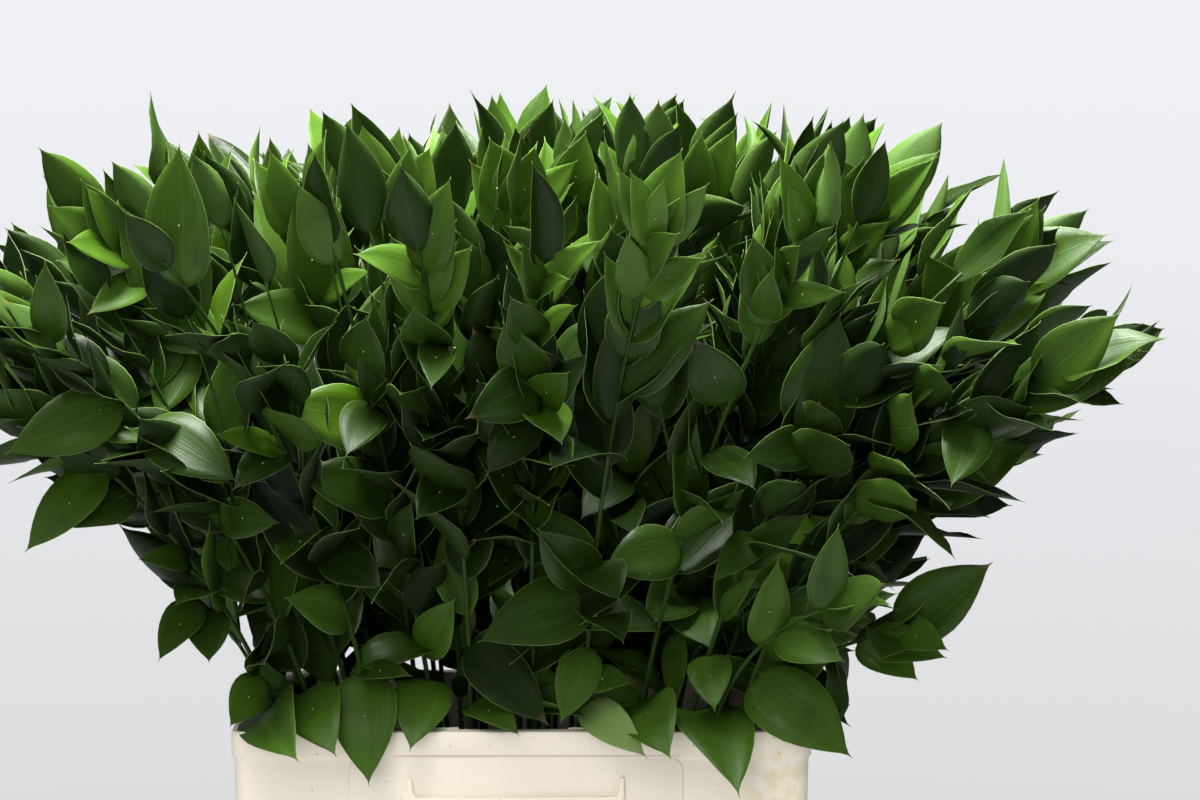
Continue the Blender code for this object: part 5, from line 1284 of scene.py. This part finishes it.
def stalk_finish():
    """Smooth green stalk, paler in streaks along it."""
    material, nodes, place = new_finish("ruscus_stalk")
    uv = nodes.add("UVMap", uv_map="surface")[0]
    streak = nodes.noise(nodes.stretched(uv, (9.0, 0.8, 1.0)), 1.0)
    mottle = nodes.noise(place, 60.0)
    color = nodes.blend(streak, STALK_DARK, STALK_LIGHT)
    nodes.put(nodes.shader, {
        "Base Color": nodes.blend(nodes.step_up(mottle, 0.5, 0.8, 0.0, 0.4), color, STALK_MOTTLE),
        "Roughness": nodes.step_up(mottle, 0.3, 0.7, 0.50, 0.62),
        "Specular IOR Level": 0.2,
        "Normal": nodes.bump(streak, 0.3, 0.0004),
    })
    return material


def flower_finish():
    """Pale yellow buds, a little uneven."""
    material, nodes, place = new_finish("ruscus_flower")
    color = nodes.blend(nodes.noise(place, 900.0, 1.0), (0.36, 0.35, 0.13), (0.55, 0.52, 0.25))
    nodes.put(nodes.shader, {"Base Color": color, "Roughness": 0.55})
    return material


# The crate's colours: its cream, what is laid over it, and the brown inside
CREAM_DARK, CREAM_LIGHT = (0.850, 0.765, 0.630), (0.885, 0.805, 0.670)
CREAM_SCUFF = (0.760, 0.665, 0.490)
CREAM_YELLOWED = (0.720, 0.610, 0.330)
CREAM_SPECK = (0.300, 0.220, 0.130)
CREAM_SHADOW_LINE = (0.430, 0.340, 0.240)
INSIDE_DARK, INSIDE_LIGHT = (0.110, 0.055, 0.028), (0.240, 0.140, 0.080)
# Where the yellowed patch is, and how far from there it starts to fade and ends
PATCH_PLACE, PATCH_FADES = (0.176, -0.148, 0.325), (0.012, 0.032)
# The fine dark line in front is a painted shadow at the foot of the rim's band, over the panel: its height
# and half width, where it starts and ends across, and how far back
SHADOW_LINE_HEIGHT, SHADOW_LINE_WIDTH = 0.3432, (0.0003, 0.0011)
SHADOW_LINE_STARTS, SHADOW_LINE_ENDS, SHADOW_LINE_BACK = (-0.095, -0.080), (0.104, 0.112), (-0.14, -0.13)
# The brown inside: how far in from the crate's sides and how far down from its top it is plain cream, then
# fully brown
INSIDE_IN, INSIDE_DOWN = (0.0125, 0.0155), (0.0025, 0.0065)
# The fine ribs at the front's left: their spacing, the height they end at, where they start and end
# across, and how far back
RIB_PITCH, RIB_TOP = 0.0052, (0.336, 0.339)
RIB_STARTS, RIB_ENDS, RIB_BACK = (-0.194, -0.191), (-0.137, -0.134), (-0.13, -0.12)


def cream_finish():
    """Moulded cream plastic: faint mottling, ribs, scuffs, specks, a yellowed patch, a painted shadow line
    in front, and a brown inside.
    """
    material, nodes, place = new_finish("cream_plastic")
    x, y, z = nodes.add("SeparateXYZ", {0: place})
    cloud = nodes.noise(place, 14.0, 3.0)
    grain = nodes.noise(place, 260.0)
    scuffs = nodes.noise(nodes.stretched(place, (26.0, 26.0, 3.0)), 6.0, 3.0)
    away = nodes.add("VectorMath", {0: place, 1: PATCH_PLACE}, operation="DISTANCE")["Value"]
    blots = nodes.step_up(nodes.noise(place, 75.0, 3.0), 0.42, 0.62)
    specks = nodes.step_up(nodes.noise(place, 330.0, 1.0, 0.4), 0.765, 0.80)
    # A painted shadow: a fine dark line at the foot of the rim's band, across the front
    shadow_line = nodes.times(
        nodes.step_down(nodes.off(z, SHADOW_LINE_HEIGHT), *SHADOW_LINE_WIDTH, 0.55),
        nodes.step_up(x, *SHADOW_LINE_STARTS),
        nodes.step_down(x, *SHADOW_LINE_ENDS),
        nodes.step_down(y, *SHADOW_LINE_BACK),
    )
    plain_in, brown_in = INSIDE_IN
    plain_down, brown_down = INSIDE_DOWN
    inside = nodes.times(
        nodes.step_down(nodes.calc("ABSOLUTE", x), CRATE_LENGTH / 2 - brown_in, CRATE_LENGTH / 2 - plain_in),
        nodes.step_down(nodes.calc("ABSOLUTE", y), CRATE_WIDTH / 2 - brown_in, CRATE_WIDTH / 2 - plain_in),
        nodes.step_down(z, CRATE_HEIGHT - brown_down, CRATE_HEIGHT - plain_down),
    )
    color = nodes.tinted(
        nodes.blend(cloud, CREAM_DARK, CREAM_LIGHT),
        (nodes.step_up(scuffs, 0.60, 0.76, 0.0, 0.10), CREAM_SCUFF),
        (nodes.times(nodes.step_down(away, *PATCH_FADES), blots, 0.55), CREAM_YELLOWED),
        (nodes.times(specks, 0.6), CREAM_SPECK),
        (shadow_line, CREAM_SHADOW_LINE),
        (inside, nodes.blend(cloud, INSIDE_DARK, INSIDE_LIGHT)),
    )
    ribs = nodes.times(
        nodes.calc("SINE", nodes.times(x, 2 * math.pi / RIB_PITCH)),
        nodes.step_down(z, *RIB_TOP),
        nodes.step_down(x, *RIB_ENDS),
        nodes.step_up(x, *RIB_STARTS),
        nodes.step_down(y, *RIB_BACK),
    )
    height = nodes.plus(nodes.times(grain, 0.10), nodes.times(ribs, 0.35), nodes.times(cloud, 0.8))
    nodes.put(nodes.shader, {
        "Base Color": color,
        "Roughness": nodes.step_up(cloud, 0.3, 0.7, 0.42, 0.56),
        "Normal": nodes.bump(height, 0.4, 0.0006),
    })
    return material


def water_finish():
    """Clear water with a slight green tint and a faint ripple."""
    material, nodes, place = new_finish("crate_water")
    ripple = nodes.noise(place, 22.0)
    nodes.put(nodes.shader, {
        "Base Color": nodes.blend(ripple, (0.62, 0.74, 0.66), (0.72, 0.82, 0.76)),
        "Roughness": 0.03,
        "IOR": 1.33,
        "Transmission Weight": 1.0,
        "Normal": nodes.bump(ripple, 0.15, 0.001),
    })
    return material


# Stage: floor, sky, lights and camera

# The floor's rings outwards, how many sides they have, how far it lies under the crate, and where it fades
FLOOR_RINGS = np.array([0.0005, 0.5, 1.0, 1.6, 2.4, 6.0])
FLOOR_SIDES = 64
FLOOR_DROP = 0.0004
FLOOR_FADES = (0.7, 2.0)
FLOOR_DARK, FLOOR_LIGHT = (0.232, 0.234, 0.240), (0.258, 0.261, 0.267)
# What the camera sees of the sky below and from eye height on, the light it gives from below and above,
# the upward shares of a ray's way that each changes between, and what shines in glossy faces
BACKDROP_LOW, BACKDROP_HIGH = (0.728, 0.730, 0.745), (0.868, 0.878, 0.915)
GLOW_LOW, GLOW_HIGH = (0.060, 0.062, 0.066), (0.95, 0.96, 0.99)
BACKDROP_CHANGES, GLOW_CHANGES = (-0.19, 0.03), (0.0, 0.9)
SHEEN = (0.13, 0.13, 0.14)
# Each softbox: name, place, size, watts, and whether it is seen in what it lights
SOFTBOXES = (
    ("top_softbox", (-0.3, -0.35, 2.4), 1.2, 230, True),
    ("front_softbox", (-0.5, -1.5, 2.3), 1.3, 11, False),
    ("key_softbox", (-1.2, -2.9, 1.6), 1.9, 14, False),
    ("fill_softbox", (2.2, -2.0, 1.0), 1.6, 8, False),
    ("low_softbox", (-0.6, -3.2, 0.5), 1.8, 20, False),
)
SOFTBOX_TARGET = (0, 0, 0.55)
# The camera: lens and sensor in millimetres, its place, and the degrees it looks down and to the right
LENS, SENSOR = 123.4, 36
CAMERA_PLACE, CAMERA_DOWN, CAMERA_RIGHT = (0.0234, -2.95, 0.807), 4.46, 0.624


def make_floor():
    """A pale disc that fades into the backdrop: rings of points at radius * (cos a, sin a)."""
    angles = 2 * np.pi * np.arange(FLOOR_SIDES) / FLOOR_SIDES
    radii = FLOOR_RINGS[:, None]
    points = np.broadcast_arrays(radii * np.cos(angles), radii * np.sin(angles), -FLOOR_DROP)
    faces = grid_faces(len(FLOOR_RINGS), FLOOR_SIDES, closed=True)
    material, nodes, place = new_finish("studio_floor")
    color = nodes.blend(nodes.noise(place, 3.0), FLOOR_DARK, FLOOR_LIGHT)
    nodes.put(nodes.shader, {"Base Color": color, "Roughness": 0.8})
    distance = nodes.add("VectorMath", {0: place}, operation="LENGTH")["Value"]
    clear = nodes.add("BsdfTransparent")[0]
    layers = {0: nodes.step_up(distance, *FLOOR_FADES), 1: nodes.shader.outputs[0], 2: clear}
    nodes.put(nodes.tree.nodes["Material Output"], {"Surface": nodes.add("MixShader", layers)[0]})
    floor = add_piece("studio_floor", np.stack(points, -1).reshape(-1, 3), [(faces, 0, True)], [material])


def make_sky():
    """A pale backdrop all round: brightest at eye height, a little greyer below; sheens see a dim room."""
    world = bpy.data.worlds.new("studio")
    bpy.context.scene.world = world
    nodes = Nodes(world, "Background")
    height = nodes.add("SeparateXYZ", {0: nodes.add("TexCoord")["Generated"]})[2]
    rays = nodes.add("LightPath")
    backdrop = nodes.blend(nodes.step_up(height, *BACKDROP_CHANGES), BACKDROP_LOW, BACKDROP_HIGH)
    glow = nodes.blend(nodes.step_up(height, *GLOW_CHANGES), GLOW_LOW, GLOW_HIGH)
    color = nodes.tinted(glow, (rays["Is Glossy Ray"], SHEEN), (rays["Is Camera Ray"], backdrop))
    nodes.put(nodes.shader, {"Color": color, "Strength": 1.0})


def add_softbox(name, place, size, watts, sheen):
    """A round soft light that faces the foliage; only one with a sheen is seen in what it lights."""
    lamp = bpy.data.lights.new(name, "AREA")
    lamp.shape = "DISK"
    lamp.size = size
    lamp.energy = watts
    softbox = bpy.data.objects.new(name, lamp)
    bpy.context.scene.collection.objects.link(softbox)
    softbox.location = place
    x, y, z = np.array(SOFTBOX_TARGET) - np.array(place)
    softbox.rotation_euler = (math.atan2(math.hypot(x, y), -z), 0, math.atan2(-x, y))
    softbox.visible_glossy = sheen


def make_camera():
    """The view from the front, a little above the rim."""
    camera = bpy.data.cameras.new("camera")
    camera.lens = LENS
    camera.sensor_width = SENSOR
    camera.clip_end = 100
    eye = bpy.data.objects.new("camera", camera)
    bpy.context.scene.collection.objects.link(eye)
    eye.location = CAMERA_PLACE
    eye.rotation_euler = (math.radians(90 - CAMERA_DOWN), 0, -math.radians(CAMERA_RIGHT))
    bpy.context.scene.camera = eye


def make_stems():
    """Every stem, with the shoots that carry leaves, each ending just past its last one."""
    rng = np.random.default_rng(SEED)
    stems = make_stem_paths(rng)
    leaves, shoots = grow_leaves(stems, rng)
    for number in PALE_LEAVES:
        leaves[number]["pale"] = True
    finishes = [leaf_finish(), stalk_finish(), flower_finish()]
    looks = np.random.default_rng(SEED + 1)
    for number, stem in enumerate(stems):
        own = [leaf for leaf in leaves if leaf["stem"] == number]
        branches = []
        for shoot in (shoot for shoot in shoots if shoot["stem"] == number):
            reached = [leaf["t"] for leaf in own if leaf["shoot"] and leaf["axis"] is shoot]
            if reached:
                branches.append((shoot, max(reached) + SHOOT_PAST_LEAF))
        make_stem_piece(number + 1, stem, branches, own, finishes, looks)


def main():
    bpy.context.scene.view_settings.view_transform = "Standard"
    make_camera()
    make_sky()
    make_floor()
    for softbox in SOFTBOXES:
        add_softbox(*softbox)
    make_stems()
    make_crate_piece(cream_finish())
    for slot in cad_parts["water"].material_slots:
        slot.material = water_finish()


main()
